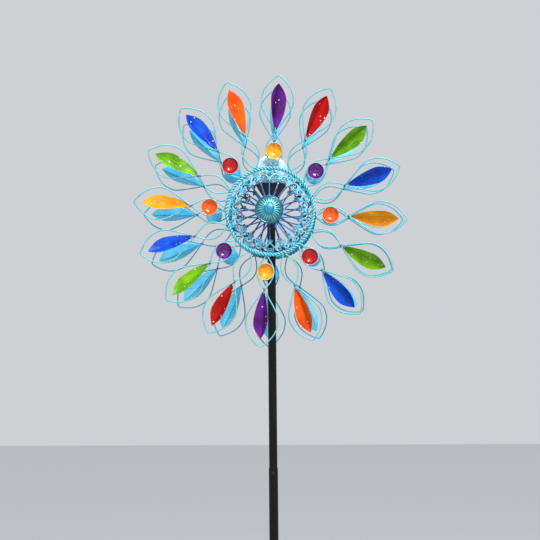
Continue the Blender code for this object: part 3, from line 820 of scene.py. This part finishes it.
def sky_paint(name):
    """Thin sprayed sky-blue paint, lighter in a haze, with painted shade along the crease, chipped at the
    edge. On a cup's back the same shade darkens the middle.
    """
    paint = Finish(name, {"Specular IOR Level": 0.5, "Coat Weight": 0.3, "Coat Roughness": 0.2})
    across = paint.mark("across")
    haze = paint.noise(24, 5)
    colour = paint.mix(haze.between(0.3, 0.75), display(44, 172, 222), display(108, 208, 238))
    # Painted shade along the crease.
    colour = paint.mix(abs(across).between(0.09, 0.02) * 0.75, colour, display(20, 78, 110))
    chip = (paint.noise(300, 4) + abs(across) * 0.12).between(0.70, 0.74)
    colour = paint.mix(chip * 0.7, colour, display(186, 208, 204))
    paint.feed("Base Color", colour)
    paint.feed("Roughness", 0.34 + haze * 0.2 + chip * 0.2)
    paint.feed("Metallic", chip * 0.5)
    paint.bump(paint.noise(420, 3) - chip * 0.4, 0.00018)
    return paint


enamels = {
    "purple": (display(94, 24, 128), display(56, 4, 76), display(140, 70, 168)),
    "red": (display(186, 0, 2), display(132, 0, 2), display(216, 30, 16)),
    "green": (display(118, 182, 0), display(58, 118, 0), display(186, 216, 40)),
    "blue": (display(0, 86, 214), display(0, 44, 158), display(50, 130, 240)),
    "amber": (display(248, 166, 0), display(214, 120, 0), display(255, 206, 50)),
    "orange": (display(240, 92, 0), display(196, 60, 0), display(252, 142, 34)),
}
petal_order = ("purple", "red", "green", "blue", "amber", "green", "blue", "orange")
petal_glass = {colour: glass_enamel(colour + "_petal_enamel", *tones) for colour, tones in enamels.items()}
petal_back = sky_paint("sky_blue_back_paint")

stem_metal = Finish("crimped_stem_metal", {"Metallic": 0.7})
tarnish = stem_metal.noise(500, 4)
stem_tone = stem_metal.mix(tarnish.between(0.35, 0.7), display(206, 176, 172), display(110, 90, 100))
stem_metal.feed("Base Color", stem_tone)
stem_metal.feed("Roughness", 0.30 + tarnish * 0.25)
stem_metal.bump(tarnish, 0.0002)

for word, side in sides.items():
    stems = []
    for i, angle in enumerate(petal_angles(word)):
        colour = petal_order[i % len(petal_order)]
        skin = np.repeat([0, 1], petal_columns)
        piece(f"{word}_petal_leaf_{i + 1:02d}", [sheet(petal_grid(angle, side), skin=skin)],
              [petal_glass[colour], petal_back], word + "_wheel",
              [f"{word}_petal_{i + 1:02d}"], ("across", "along"))
        radius = np.linspace(0.1775, 0.1875, 26)
        crimps = 0.0014 + 0.0003 * np.sin(np.linspace(0, 7 * np.pi, 26))
        path = wheel_point(angle, radius, dish(radius) + 0.0004, side)
        stems.append(sheet(wire(path, crimps, 10, False, (0, side, 0), 0.75)))
    piece(word + "_petal_stems", stems, [stem_metal], word + "_wheel",
          [word + "_wheel_frame"], ("facing", "along"))

# ------------------------------
# Wind cups. Eight pressed steel bowls on each wheel, each welded by its rim between the strands of
# every second inner lobe. The hollow is fired in glittering enamel, and the back is sky blue.

cup_centre = 0.1365
cup_radius = 0.0194
cup_depth = 0.0090
cup_wall = 0.0009


def cup_grid(angle, side):
    """A bowl about its own axis, which lies along Y: from the middle of the hollow, which deepens as
    1 - (r / R)^2.4, over a rolled rim and back along the outside. Its marks are `across`, which is
    the radius over the rim's, and `along`, which is 1 on the rim."""
    share = np.linspace(0.01, 1, 26)
    hollow = -cup_depth * (1 - share**2.4)
    bend = np.linspace(0, np.pi, 9)[1:-1]
    lip = cup_wall * 0.9
    inside = np.stack([(cup_radius - 2 * lip) * share, hollow + 0.5 * lip], axis=1)
    rolled = np.stack([cup_radius - lip - lip * np.cos(bend), 0.5 * lip + lip * np.sin(bend)], axis=1)
    outside = np.stack([cup_radius * share[::-1], hollow[::-1] - cup_wall * 0.6], axis=1)
    profile = np.vstack([inside, rolled, outside])
    middle = wheel_point(angle, cup_centre, dish(cup_centre) + 0.0012, side)
    place = turned(profile, 72, middle, (0, side, 0))
    height = profile[:, 1]
    marks = np.stack([profile[:, 0] / cup_radius, np.clip(1 + (height - lip) / 0.0012, 0, 1)], axis=1)
    rows = np.broadcast_to(marks[:, None], (len(profile), 72, 2))
    skin = np.where(np.arange(len(profile) - 1) < len(inside) + len(rolled) // 2, 0, 1)
    return np.concatenate([place, rows], axis=2), skin[:, None]


def glitter_enamel(name, middle, deep, light):
    """Enamel over coarse glitter: bright and dark grains, a pale ring just inside the rim that is a
    painted highlight, and a pale pinkish rim that is a painted highlight too."""
    enamel = Finish(name, {"Specular IOR Level": 0.4, "Coat Weight": 0.35, "Coat Roughness": 0.05})
    across, rim = enamel.mark("across"), enamel.mark("along")
    grain_far, grain = enamel.cells(430)
    cloud = enamel.noise(90, 4)
    colour = enamel.mix(cloud.between(0.3, 0.7), deep, middle)
    colour = enamel.mix(grain.between(0.62, 0.95) * 0.7, colour, light)
    colour = enamel.mix(grain.between(0.14, 0.0) * 0.6, colour, deep)
    # Painted highlight: a pale ring just inside the rim.
    colour = enamel.mix(across.between(0.86, 0.97) * (0.1 + cloud * 0.5), colour, light)
    # Painted highlight on the rim.
    colour = enamel.mix(rim.between(0.6, 0.95) * 0.3, colour, display(240, 206, 196))
    enamel.feed("Base Color", colour)
    enamel.feed("Roughness", 0.16 + grain_far * 0.2)
    enamel.feed("Metallic", grain.between(0.75, 0.95) * 0.4)
    enamel.bump(grain * 0.5 + enamel.noise(260), 0.0003)
    return enamel


cup_order = ("amber", "purple", "orange", "red")
cup_glass = {colour: glitter_enamel(colour + "_cup_enamel", *enamels[colour]) for colour in cup_order}
for word, side in sides.items():
    for i, angle in enumerate(petal_angles(word)[::2]):
        colour = cup_order[i % len(cup_order)]
        grid, skin = cup_grid(angle, side)
        piece(f"{word}_wind_cup_{i + 1}", [sheet(grid, skin=skin)], [cup_glass[colour], petal_back],
              word + "_wheel", [word + "_wheel_frame"], ("across", "along"))

# ------------------------------
# Filigree. A domed iron casting fills each rope ring: twenty spokes from a centre plate, and round
# them ten repeats of scrolls, arches and buds. It is airbrushed from dark blue to pale turquoise.

dome_rise = 0.032
dome_radius = 0.0917
spoke_count = 20
plate_edge = {"front": 0.030, "rear": 0.018}
plate_thickness = {"front": 0.0024, "rear": 0.0062}
scroll_wire = 0.00175
casting_millimetre = 0.00102   # the scrolls are laid out in millimetres, and cast 2% larger
repeat = 2 * math.pi / 10


def dome(radius):
    """How far the filigree stands from the pole's axis: a shallow paraboloid that meets the plane of
    the rope ring at its edge."""
    return ring_away + dome_rise * (1 - (radius / dome_radius) ** 2)


def flowing(points, steps=7):
    """A smooth line through the points: between each two, the cubic whose slope at either one is
    half the step between its neighbours."""
    points = np.asarray(points, float)
    wide = np.vstack([2 * points[0] - points[1], points, 2 * points[-1] - points[-2]])
    before, a, b, after = wide[:-3], wide[1:-2], wide[2:-1], wide[3:]
    t = np.linspace(0, 1, steps, endpoint=False)[:, None, None]
    line = a + (b - before) * t / 2 + (before - 2.5 * a + 2 * b - after / 2) * t**2
    line += (1.5 * a - before / 2 - 1.5 * b + after / 2) * t**3
    return np.vstack([np.swapaxes(line, 0, 1).reshape(-1, points.shape[1]), points[-1:]])


def cast_bar(angle, radius, thickness, side, flat=0.8):
    """A bar cast on the dome, through the points at these angles and radii."""
    path = wheel_point(angle, radius, dome(radius), side)
    return sheet(wire(path, thickness, 8, False, (0, side, 0), flat))

def scroll(start_angle, polar, side, size=1.0, tail=0.55, hand=1):
    """A bar cast on the dome through points given as (radius in mm, degrees round from start_angle),
    thinned at its last end to the share `tail`. hand -1 mirrors it."""
    radius, degrees = flowing(polar).T
    radius = radius * casting_millimetre
    angle = start_angle + hand * np.radians(degrees)
    thick = np.linspace(0, 1, len(radius))
    thick = scroll_wire * size * np.minimum(1, tail + (1 - tail) * (1 - thick) * 4)
    return cast_bar(angle, radius, thick, side)


def ring_arc(start_angle, centre_mm, arc_mm, half_sweep, side, size):
    """An arc on the dome about a point `centre_mm` from the axle, open towards the axle."""
    sweep = np.radians(np.linspace(-half_sweep, half_sweep, 26))
    out, across = centre_mm + arc_mm * np.cos(sweep), arc_mm * np.sin(sweep)
    radius = np.hypot(out, across) * casting_millimetre
    angle = start_angle + np.arctan2(across, out)
    return cast_bar(angle, radius, scroll_wire * size, side)


def knob(start_angle, radius_mm, degrees, size_mm, side, stretch=1.0):
    """A bud cast on the dome: a ball, stretched along the radius."""
    radius = radius_mm * casting_millimetre
    angle = start_angle + math.radians(degrees)
    down = np.linspace(0.1, np.pi - 0.1, 8)[:, None]
    turn = np.linspace(0, 2 * np.pi, 12, endpoint=False)
    size = size_mm / 1000
    along, across = size * stretch * np.cos(down), size * np.sin(down) * np.cos(turn)
    rise = size * 0.8 * np.sin(down) * np.sin(turn)
    outwards = np.array([math.sin(angle), 0, math.cos(angle)])
    sideways = np.array([math.cos(angle), 0, -math.sin(angle)])
    middle = wheel_point(angle, radius, dome(radius), side)
    place = middle + (along * np.ones(12))[..., None] * outwards + across[..., None] * sideways
    place = place + rise[..., None] * np.array([0, side, 0])
    facing = np.broadcast_to(np.sin(down) * np.sin(turn), rise.shape)[..., None]
    return sheet(np.concatenate([place, facing, facing * 0 + 0.5], axis=2))


def filigree_sheets(side, plate_radius):
    """All of one casting's bars, as closed sheets that run into each other. About each even spoke
    stand two arches that end in scrolls, a rainbow with an eye, and three buds; on each odd spoke
    stands a bud between two small ones, and a forked strand that reaches the rope ring."""
    bars = []
    for i in range(spoke_count):
        angle = 2 * math.pi * i / spoke_count
        end = 0.0680 if i % 2 == 0 else 0.0640
        radius = np.linspace(plate_radius - 0.003, end, 22)
        width = 0.0023 - 0.0006 * np.sin(np.pi * np.linspace(0, 1, 22))
        bars.append(cast_bar(angle, radius, width, side, 0.7))
    arch = [(65, 0.4), (71.5, 1.6), (77.8, 4.4), (82.2, 8.6), (81.8, 13.2), (77.8, 16.2), (73.0, 15.9),
            (70.6, 13.0), (72.2, 10.0), (75.6, 10.0)]
    fork = [(70.5, 0), (76.0, 1.0), (81.5, 1.6), (86.5, 3.2), (91.2, 6.6)]
    for i in range(10):
        even, odd = i * repeat, (i + 0.5) * repeat
        for hand in (-1, 1):
            bars.append(scroll(even, arch, side, hand=hand))
            bars.append(scroll(odd, fork, side, 0.75, tail=1.0, hand=hand))
            bars.append(knob(even, 75.6, hand * 10.8, 2.4, side))
            bars.append(knob(even, 67.5, hand * 3.6, 1.9, side, 1.6))
            bars.append(knob(odd, 67.0, hand * 3.0, 2.0, side, 1.3))
        bars.append(ring_arc(even, 84.0, 7.6, 112, side, 0.95))
        bars.append(ring_arc(even, 84.0, 3.9, 120, side, 0.8))
        bars.append(knob(even, 83.6, 0, 1.7, side))
        bars.append(knob(even, 71.5, 0, 2.2, side, 1.9))
        bars.append(knob(odd, 66.5, 0, 2.1, side, 2.2))
        bars.append(knob(odd, 78.6, 0, 2.0, side, 1.4))
    return bars


def filigree_paint():
    """The airbrushed casting, dark blue near the cap and pale turquoise at the ring, with light and shade
    painted across each bar: near the cap a dark blue crest between flanks with painted highlights, and
    at the ring a pale turquoise crest as a painted highlight between flanks in painted shade. A dry brush
    has caught the high edges."""
    paint = Finish("airbrushed_filigree_paint",
                   {"Metallic": 0.25, "Specular IOR Level": 0.4, "Coat Weight": 0.15, "Coat Roughness": 0.2})
    parts = paint.node("SeparateXYZ", None, {"Vector": paint.place})
    east, up = parts["X"], parts["Z"] - axle_height
    radius = (east * east + up * up) ** 0.5
    facing = paint.mark("facing")
    drift = (paint.noise(60, 4) - 0.5) * 0.02
    outer = (radius + drift).between(0.060, 0.078)
    # Crest and flank colours: painted light and shade across each bar, by how squarely it faces out.
    crest = paint.mix(outer, display(18, 44, 104), display(92, 190, 218))
    flank = paint.mix(outer, display(80, 152, 210), display(6, 60, 98))
    teal = (radius + drift).between(0.034, 0.029)
    crest = paint.mix(teal, crest, display(70, 170, 186))
    # The share of crest colour follows how squarely the bar faces out, with random mottling.
    lit = (facing + (paint.noise(220, 3) - 0.5) * 0.9).between(-0.35, 0.85)
    colour = paint.mix(lit, flank, crest)
    brushed = (facing * 0.25 + paint.noise(260, 5)).between(0.80, 0.90)
    colour = paint.mix(brushed * 0.7, colour, display(196, 236, 240))
    paint.feed("Base Color", colour)
    paint.feed("Roughness", 0.30 + paint.noise(150) * 0.2)
    paint.bump(paint.noise(700, 4) + brushed * 0.4, 0.00018)
    return paint


def marked(grid, *values):
    """The grid, with the same marks on each of its points."""
    return np.concatenate([grid] + [np.full((*grid.shape[:2], 1), value) for value in values], axis=2)

casting_paint = filigree_paint()
sleeve_radius = 0.0143
for word, side in sides.items():
    edge, bore = plate_edge[word], sleeve_radius + 0.0003
    plate_face = dome(edge) + 0.0010
    plate_back = plate_face - plate_thickness[word]
    outline = eased([(bore, plate_face), (edge - 0.002, plate_face), (edge, plate_face - 0.0006),
                     (edge, plate_back), (bore, plate_back)], 0.0008)
    plate = sheet(marked(turned(outline, 96, (0, 0, axle_height), (0, side, 0)), 0.4, 0.5), loop=True)
    piece(word + "_filigree_casting", [plate] + filigree_sheets(side, edge), [casting_paint], word + "_wheel",
          [word + "_filigree"], ("facing", "along"))

    low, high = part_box(word + "_hub_sleeve")
    start, end = sorted((abs(low.y), abs(high.y)))
    outer, inner = (high.x - low.x) / 2, 0.0113
    outline = eased([(inner, start), (outer, start), (outer, start + 0.003), (outer - 0.0006, start + 0.0036),
                     (outer - 0.0006, end - 0.0036), (outer, end - 0.003), (outer, end), (inner, end)], 0.0004)
    grid = marked(turned(outline, 64, (0, 0, axle_height), (0, side, 0)), 0.2, 0.3)
    piece(word + "_hub_sleeve_tube", [sheet(grid, loop=True)], [rope_paint], word + "_wheel",
          [word + "_hub_sleeve"], ("facing", "groove"))

# ------------------------------
# Hub caps. A spun and pressed steel cap hides each nut: a flat rim, a ring of twenty-four raised
# ribs and a smooth button. The rear one is smaller. Metallic teal, with painted highlights on the
# ribs and painted shade in the flutes; the rim is darker too.

cap_edge = 0.032            # outer radius that the full-size cap is measured by
cap_radius = 0.0318
cap_base = 0.0803
cap_wall = 0.0008
rib_count = 24
rib_height = 0.0011


def cap_height(radius):
    """Height of the pressed cap before its ribs: a button, then a slope that flattens to the rim."""
    stations = np.array([0, 0.0060, 0.0090, 0.0104, 0.0118, 0.0160, 0.0215, 0.0262, 0.0280, 0.0292,
                         0.0305, cap_radius])
    heights = np.array([0.0988, 0.0983, 0.0975, 0.0966, 0.0962, 0.0950, 0.0925, 0.0890, 0.0876, 0.0884,
                        0.0882, 0.0862])
    return np.interp(radius, stations, heights)


cap_paint = Finish("teal_cap_paint", {"Specular IOR Level": 0.6, "Coat Weight": 0.35, "Coat Roughness": 0.15})
rib_top = cap_paint.mark("rib")
button = cap_paint.mark("button")
mist = cap_paint.noise(110, 4)
tone = cap_paint.mix(mist.between(0.3, 0.7), display(16, 96, 118), display(38, 134, 154))
# Painted highlight on the rib crests.
tone = cap_paint.mix((rib_top + (mist - 0.5) * 0.5).between(0.45, 0.95) * 0.8, tone, display(140, 216, 212))
# Painted shade in the flutes between the ribs, and partly on the rim.
tone = cap_paint.mix(rib_top.between(0.30, 0.02) * 0.85, tone, display(4, 44, 56))
tone = cap_paint.mix(button, tone, display(36, 146, 190))
cap_paint.feed("Base Color", tone)
cap_paint.feed("Metallic", 0.35 + rib_top * 0.25)
cap_paint.feed("Roughness", 0.24 + mist * 0.16)
cap_paint.bump(cap_paint.noise(500, 4) + mist, 0.00012)

for word, side in sides.items():
    columns = rib_count * 12
    angle = np.linspace(0, 2 * np.pi, columns, endpoint=False)
    face_radius = np.concatenate([np.linspace(0.0002, 0.0118, 24), np.linspace(0.0122, 0.0272, 30),
                                  np.linspace(0.0276, cap_radius, 12)])
    height = cap_height(face_radius)
    height = np.convolve(np.pad(height, 2, "edge"), [0.1, 0.2, 0.4, 0.2, 0.1], "valid")
    # Each rib swells from nothing beside the button to its full height half way out.
    span = np.clip((face_radius - 0.0112) / 0.0165, 0, 1)
    window = np.sin(np.pi * span**0.8) ** 0.7
    wave = (0.5 + 0.5 * np.cos(rib_count * angle)) ** 0.7
    face = height[:, None] + rib_height * window[:, None] * (wave - 0.35)
    rib_mark = np.where(window[:, None] > 0.05, wave * window[:, None] + 0.3 * (1 - window[:, None]), 0.42)
    # The rim's mark is lowered, so it takes part of the flutes' painted shade.
    rib_mark = rib_mark - 0.25 * (face_radius > 0.0282)[:, None]
    button_mark = np.clip((0.0100 - face_radius) / 0.0008, 0, 1)[:, None] * np.ones(columns)
    inside_radius = np.array([cap_radius, cap_radius - cap_wall, 0.0290, 0.0262, 0.0215, 0.0160,
                              0.0104, 0.0060, 0.0002])
    inside = cap_height(inside_radius) - cap_wall - 0.0006
    inside[:2] = cap_base
    radius = np.concatenate([face_radius, inside_radius])
    radius[-8] = cap_radius - cap_wall
    height = np.vstack([face, np.repeat(inside[:, None], columns, axis=1)])
    low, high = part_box(word + "_hub_cap")
    shrink = (high.x - low.x) / 2 / cap_edge
    grid = wheel_point(angle, shrink * radius[:, None], height, side)
    hidden = np.zeros((len(inside), columns))
    marks = np.stack([np.vstack([rib_mark, hidden]), np.vstack([button_mark, hidden])], axis=2)
    piece(word + "_ribbed_cap", [sheet(np.concatenate([grid, marks], axis=2))], [cap_paint],
          word + "_wheel", [word + "_hub_cap"], ("rib", "button"), sharp=60)

# ------------------------------
# Lamp holder. A moulded black funnel, pressed over the head of the pole and slotted at the back for
# the switch. A lidded module of the same plastic drops in and carries the solar cell and the lamp.

plastic = Finish("moulded_black_plastic", {"Specular IOR Level": 0.45})
spark = plastic.noise(1400, 2)
haze = plastic.noise(40, 4)
plastic.feed("Base Color", plastic.mix(haze.between(0.35, 0.75), display(17, 18, 19), display(34, 35, 37)))
plastic.feed("Roughness", 0.34 + spark * 0.2 + haze * 0.1)
plastic.bump(spark, 0.00008)

low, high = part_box("light_cup")
funnel_top, funnel_foot, funnel_radius = high.z, low.z, (high.x - low.x) / 2
funnel_wall = 0.002
pole_radius = (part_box("pole_upper")[1].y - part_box("pole_upper")[0].y) / 2
outside = [(funnel_radius - 0.0003, funnel_top), (funnel_radius, funnel_top - 0.0006),
           (funnel_radius, funnel_top - 0.0022), (funnel_radius - 0.0012, funnel_top - 0.0034),
           (0.0270, axle_height + 0.0520), (0.0188, axle_height + 0.0395), (0.0128, axle_height + 0.0330),
           (0.0119, axle_height + 0.0290), (0.0117, axle_height + 0.0215), (0.0115, funnel_foot)]
inside = [(pole_radius + 0.0003, funnel_foot), (pole_radius + 0.0003, axle_height + 0.0345),
          (0.0165, axle_height + 0.0395), (funnel_radius - funnel_wall, axle_height + 0.0642),
          (funnel_radius - funnel_wall, funnel_top)]
outline = eased(outside + inside, 0.0009)
funnel = piece("lamp_funnel", [sheet(turned(outline, 128), loop=True)], [plastic], "stand",
               ["light_cup"], sharp=45)
knob_low, knob_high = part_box("power_switch")
travel = next(joint["range_m"][1] for joint in frame["joints"] if joint["name"] == "power_switch_slide")
opening = bpy.data.meshes.new("switch_opening")
slot_gap = 0.0004           # round the slider
left, right = knob_low.x - slot_gap, knob_high.x + travel + slot_gap
bottom, top = knob_low.z - slot_gap, knob_high.z + slot_gap
opening.from_pydata(
    [(x, y, z) for x in (left, right) for y in (0.019, 0.034) for z in (bottom, top)], [],
    [(0, 1, 3, 2), (4, 6, 7, 5), (0, 4, 5, 1), (2, 3, 7, 6), (0, 2, 6, 4), (1, 5, 7, 3)],
)
cutter = bpy.data.objects.new("switch_opening", opening)
bpy.context.scene.collection.objects.link(cutter)
cut = funnel.modifiers.new("switch_opening", "BOOLEAN")
cut.object = cutter
cut.solver = "EXACT"
bpy.context.view_layer.update()
slotted = bpy.data.meshes.new_from_object(funnel.evaluated_get(bpy.context.evaluated_depsgraph_get()))
funnel.modifiers.clear()
funnel.data = slotted
bpy.data.objects.remove(cutter)

frame["nodes"]["light_module"].material_slots[0].material = plastic.material

# ------------------------------
# Power switch. A small ribbed slider of grey plastic that stands out of the slot in the funnel's
# back and moves sideways to turn the lamp on.


def block(low, high, rows=40, columns=64, squareness=0.16):
    """A rounded block between two corners, as a superellipsoid about its own upright axis: the sine
    and cosine of both angles, each raised to a small power, so that round turns nearly square."""
    middle = np.array([(a + b) / 2 for a, b in zip(low, high)])
    half = np.array([(b - a) / 2 for a, b in zip(low, high)])
    down = np.linspace(0.02, np.pi - 0.02, rows)[:, None]
    turn = np.linspace(0, 2 * np.pi, columns, endpoint=False)
    bent = [np.sign(wave) * abs(wave) ** squareness
            for wave in (np.cos(turn), np.sin(turn), np.sin(down), np.cos(down))]
    shape = np.stack(np.broadcast_arrays(bent[2] * bent[0], bent[2] * bent[1], bent[3]), axis=2)
    return middle + half * shape


grey_plastic = Finish("grey_switch_plastic", {"Specular IOR Level": 0.4})
scuff = grey_plastic.noise(900, 4)
grey = grey_plastic.mix(scuff.between(0.35, 0.7), display(132, 134, 138), display(166, 168, 170))
grey_plastic.feed("Base Color", grey)
grey_plastic.feed("Roughness", 0.4 + scuff * 0.2)
grey_plastic.bump(scuff, 0.00008)
knob_grid = block(knob_low, knob_high)
# Four grip ribs cross its outer face.
grip_depth = 0.00025
ribs = grip_depth * np.sin((knob_grid[..., 0] - knob_low.x) * 4 * 2 * np.pi / (knob_high.x - knob_low.x))
outermost = np.clip((knob_grid[..., 1] - knob_high.y + 0.0012) / 0.0008, 0, 1)
knob_grid[..., 1] -= (grip_depth + ribs) * outermost
piece("power_switch_slider", [sheet(knob_grid)], [grey_plastic], "switch_knob",
      ["power_switch"])

# ------------------------------
# Lamp parts. On the module's lid a square solar cell charges the one rechargeable battery below it,
# and after dark a clear lamp beside the cell lights the globe.

cell = Finish("solar_cell_face", {"Specular IOR Level": 0.6, "Coat Weight": 1.0, "Coat Roughness": 0.03})
parts = cell.node("SeparateXYZ", None, {"Vector": cell.place})
finger = abs((parts["X"] * 500).math("FRACT", parts["X"] * 500 + 0.5) - 0.5).between(0.10, 0.04)
bus = abs(abs(parts["Y"]) - 0.006).between(0.0006, 0.0004)
_, grain = cell.cells(260)
silicon = cell.mix(grain, display(16, 24, 62), display(30, 46, 104))
cell.feed("Base Color", cell.mix((finger * 0.5 + bus).between(0.2, 0.9), silicon, display(186, 190, 194)))
cell.feed("Roughness", 0.2 + grain * 0.15)
cell.bump(finger + bus, 0.00005)
piece("solar_cell_wafer", [sheet(block(*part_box("solar_cell"), 40, 96, 0.06))], [cell], "stand",
      ["solar_cell"])

epoxy = Finish("clear_lamp_epoxy", {"Transmission Weight": 0.85, "IOR": 1.5})
swirl = epoxy.noise(300)
epoxy.feed("Base Color", epoxy.mix(swirl, display(244, 244, 236), display(255, 252, 240)))
epoxy.feed("Roughness", 0.04 + swirl * 0.06)
epoxy.bump(swirl, 0.00003)
low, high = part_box("led_lamp")
led_middle = ((low.x + high.x) / 2, (low.y + high.y) / 2, low.z)
led_height = high.z - low.z
dome_turn = np.linspace(0, np.pi / 2, 12)[1:]
lens_radius = 0.0025
lens = np.stack([lens_radius * np.cos(dome_turn) + 0.00005,
                 led_height - lens_radius + lens_radius * np.sin(dome_turn)], axis=1)
outline = np.vstack([[(0.0001, 0), (0.0029, 0), (0.0030, 0.0001), (0.0030, 0.0009), (0.0029, 0.0010),
                      (0.0025, 0.0011), (0.0025, led_height - 0.0025)], lens])
piece("lamp_lens", [sheet(turned(outline, 40, led_middle))], [epoxy], "stand", ["led_lamp"])

sleeve = Finish("battery_shrink_sleeve", {"Specular IOR Level": 0.5, "Coat Weight": 0.5})
crinkle = sleeve.noise(500, 3)
sleeve.feed("Base Color", sleeve.mix(crinkle, display(30, 112, 62), display(48, 140, 82)))
sleeve.feed("Roughness", 0.25 + crinkle * 0.15)
sleeve.bump(crinkle, 0.00008)
low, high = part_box("battery_cell")
battery_radius = (high.z - low.z) / 2
battery_middle = (0, (low.y + high.y) / 2, (low.z + high.z) / 2)
outline = eased([(0.0001, low.x), (battery_radius - 0.0008, low.x), (battery_radius - 0.0006, low.x + 0.0004),
                 (battery_radius, low.x + 0.0006), (battery_radius, high.x - 0.0018),
                 (battery_radius - 0.0004, high.x - 0.0008), (0.0022, high.x - 0.0009), (0.0020, high.x),
                 (0.0001, high.x)], 0.0003, 4, False)
bare = (outline[:-1, 1] < low.x + 0.0005) | (outline[:-1, 1] > high.x - 0.0009)
can = sheet(turned(outline, 48, battery_middle, (1, 0, 0)), skin=np.where(bare, 1, 0)[:, None])
piece("battery_can", [can], [sleeve, zinc], "stand", ["battery_cell"])

# ------------------------------
# Globe. A hand-blown crackle-glass ball with an open mouth, which stands on the module's lid. Hot
# glass was dipped in water and blown on, so it is crazed all through, crumpled, and pale as ice.

low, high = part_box("glass_globe")
globe_radius = (high.x - low.x) / 2
globe_height = high.z - globe_radius
globe_wall = 0.002
facet_count = 120
golden_angle = math.pi * (3 - math.sqrt(5))
mouth = math.acos((globe_height - low.z) / globe_radius)


def towards(down, turn):
    """The direction at an angle down from the top and an angle round the upright axis."""
    parts = (np.sin(down) * np.cos(turn), np.sin(down) * np.sin(turn), np.cos(down) + 0 * turn)
    return np.stack(parts, axis=-1)

pane = np.arange(facet_count) + 0.5
pane_down = np.arccos(1 - 2 * pane / facet_count) + 0.10 * np.sin(7.3 * pane)
pane_turn = golden_angle * pane + 0.14 * np.sin(11.7 * pane)
panes = towards(pane_down, pane_turn)
pane_depth = 0.968 + 0.014 * np.sin(5.1 * pane)


def crumpled(direction, radius):
    """Crumpled glass: a direction meets the nearest of many flat panes. Each pane lies across its
    own direction, spread evenly over the ball and then nudged, so its distance along a direction is
    its depth over the cosine between the two. No point lies outside the ball itself."""
    cosine = np.maximum(direction @ panes.T, 0.05)
    distance = np.min(pane_depth / cosine, axis=-1)
    return radius * np.minimum(distance, 1.0)[..., None] * direction


down = np.linspace(0.004, math.pi - mouth, 130)[:, None]
turn = np.linspace(0, 2 * np.pi, 240, endpoint=False)
direction = towards(down, turn)
outer = crumpled(direction, globe_radius)
outer[-1, :, 2] = low.z - globe_height
inner = direction[::-1] * (globe_radius - globe_wall - 0.0012)
inner[0, :, 2] = low.z - globe_height
globe_grid = np.vstack([outer, inner]) + [0, 0, globe_height]

glass = Finish("crackle_glass", {"Transmission Weight": 0.05, "IOR": 1.45, "Specular IOR Level": 0.6,
                                 "Coat Weight": 0.4, "Coat Roughness": 0.08})
edge_far, _ = glass.cells(120, "DISTANCE_TO_EDGE")
fine_far, _ = glass.cells(330, "DISTANCE_TO_EDGE")
crack = edge_far.between(0.07, 0.0)
craze = fine_far.between(0.06, 0.0)
frost = glass.noise(70, 5)
_, shard = glass.cells(120)
ice = glass.mix(shard, display(182, 220, 230), display(218, 238, 242))
ice = glass.mix(frost.between(0.45, 0.75) * 0.4, ice, display(244, 251, 252))
ice = glass.mix((crack * 0.6 + craze * 0.25).between(0.0, 0.85) * 0.6, ice, display(132, 188, 208))
glass.feed("Base Color", ice)
glass.feed("Roughness", 0.10 + frost * 0.2)
glass.bump(shard * 0.5 - crack - craze * 0.4 + frost * 0.3, 0.0004)
piece("crackle_globe", [sheet(globe_grid)], [glass], "stand", ["glass_globe"], sharp=12)
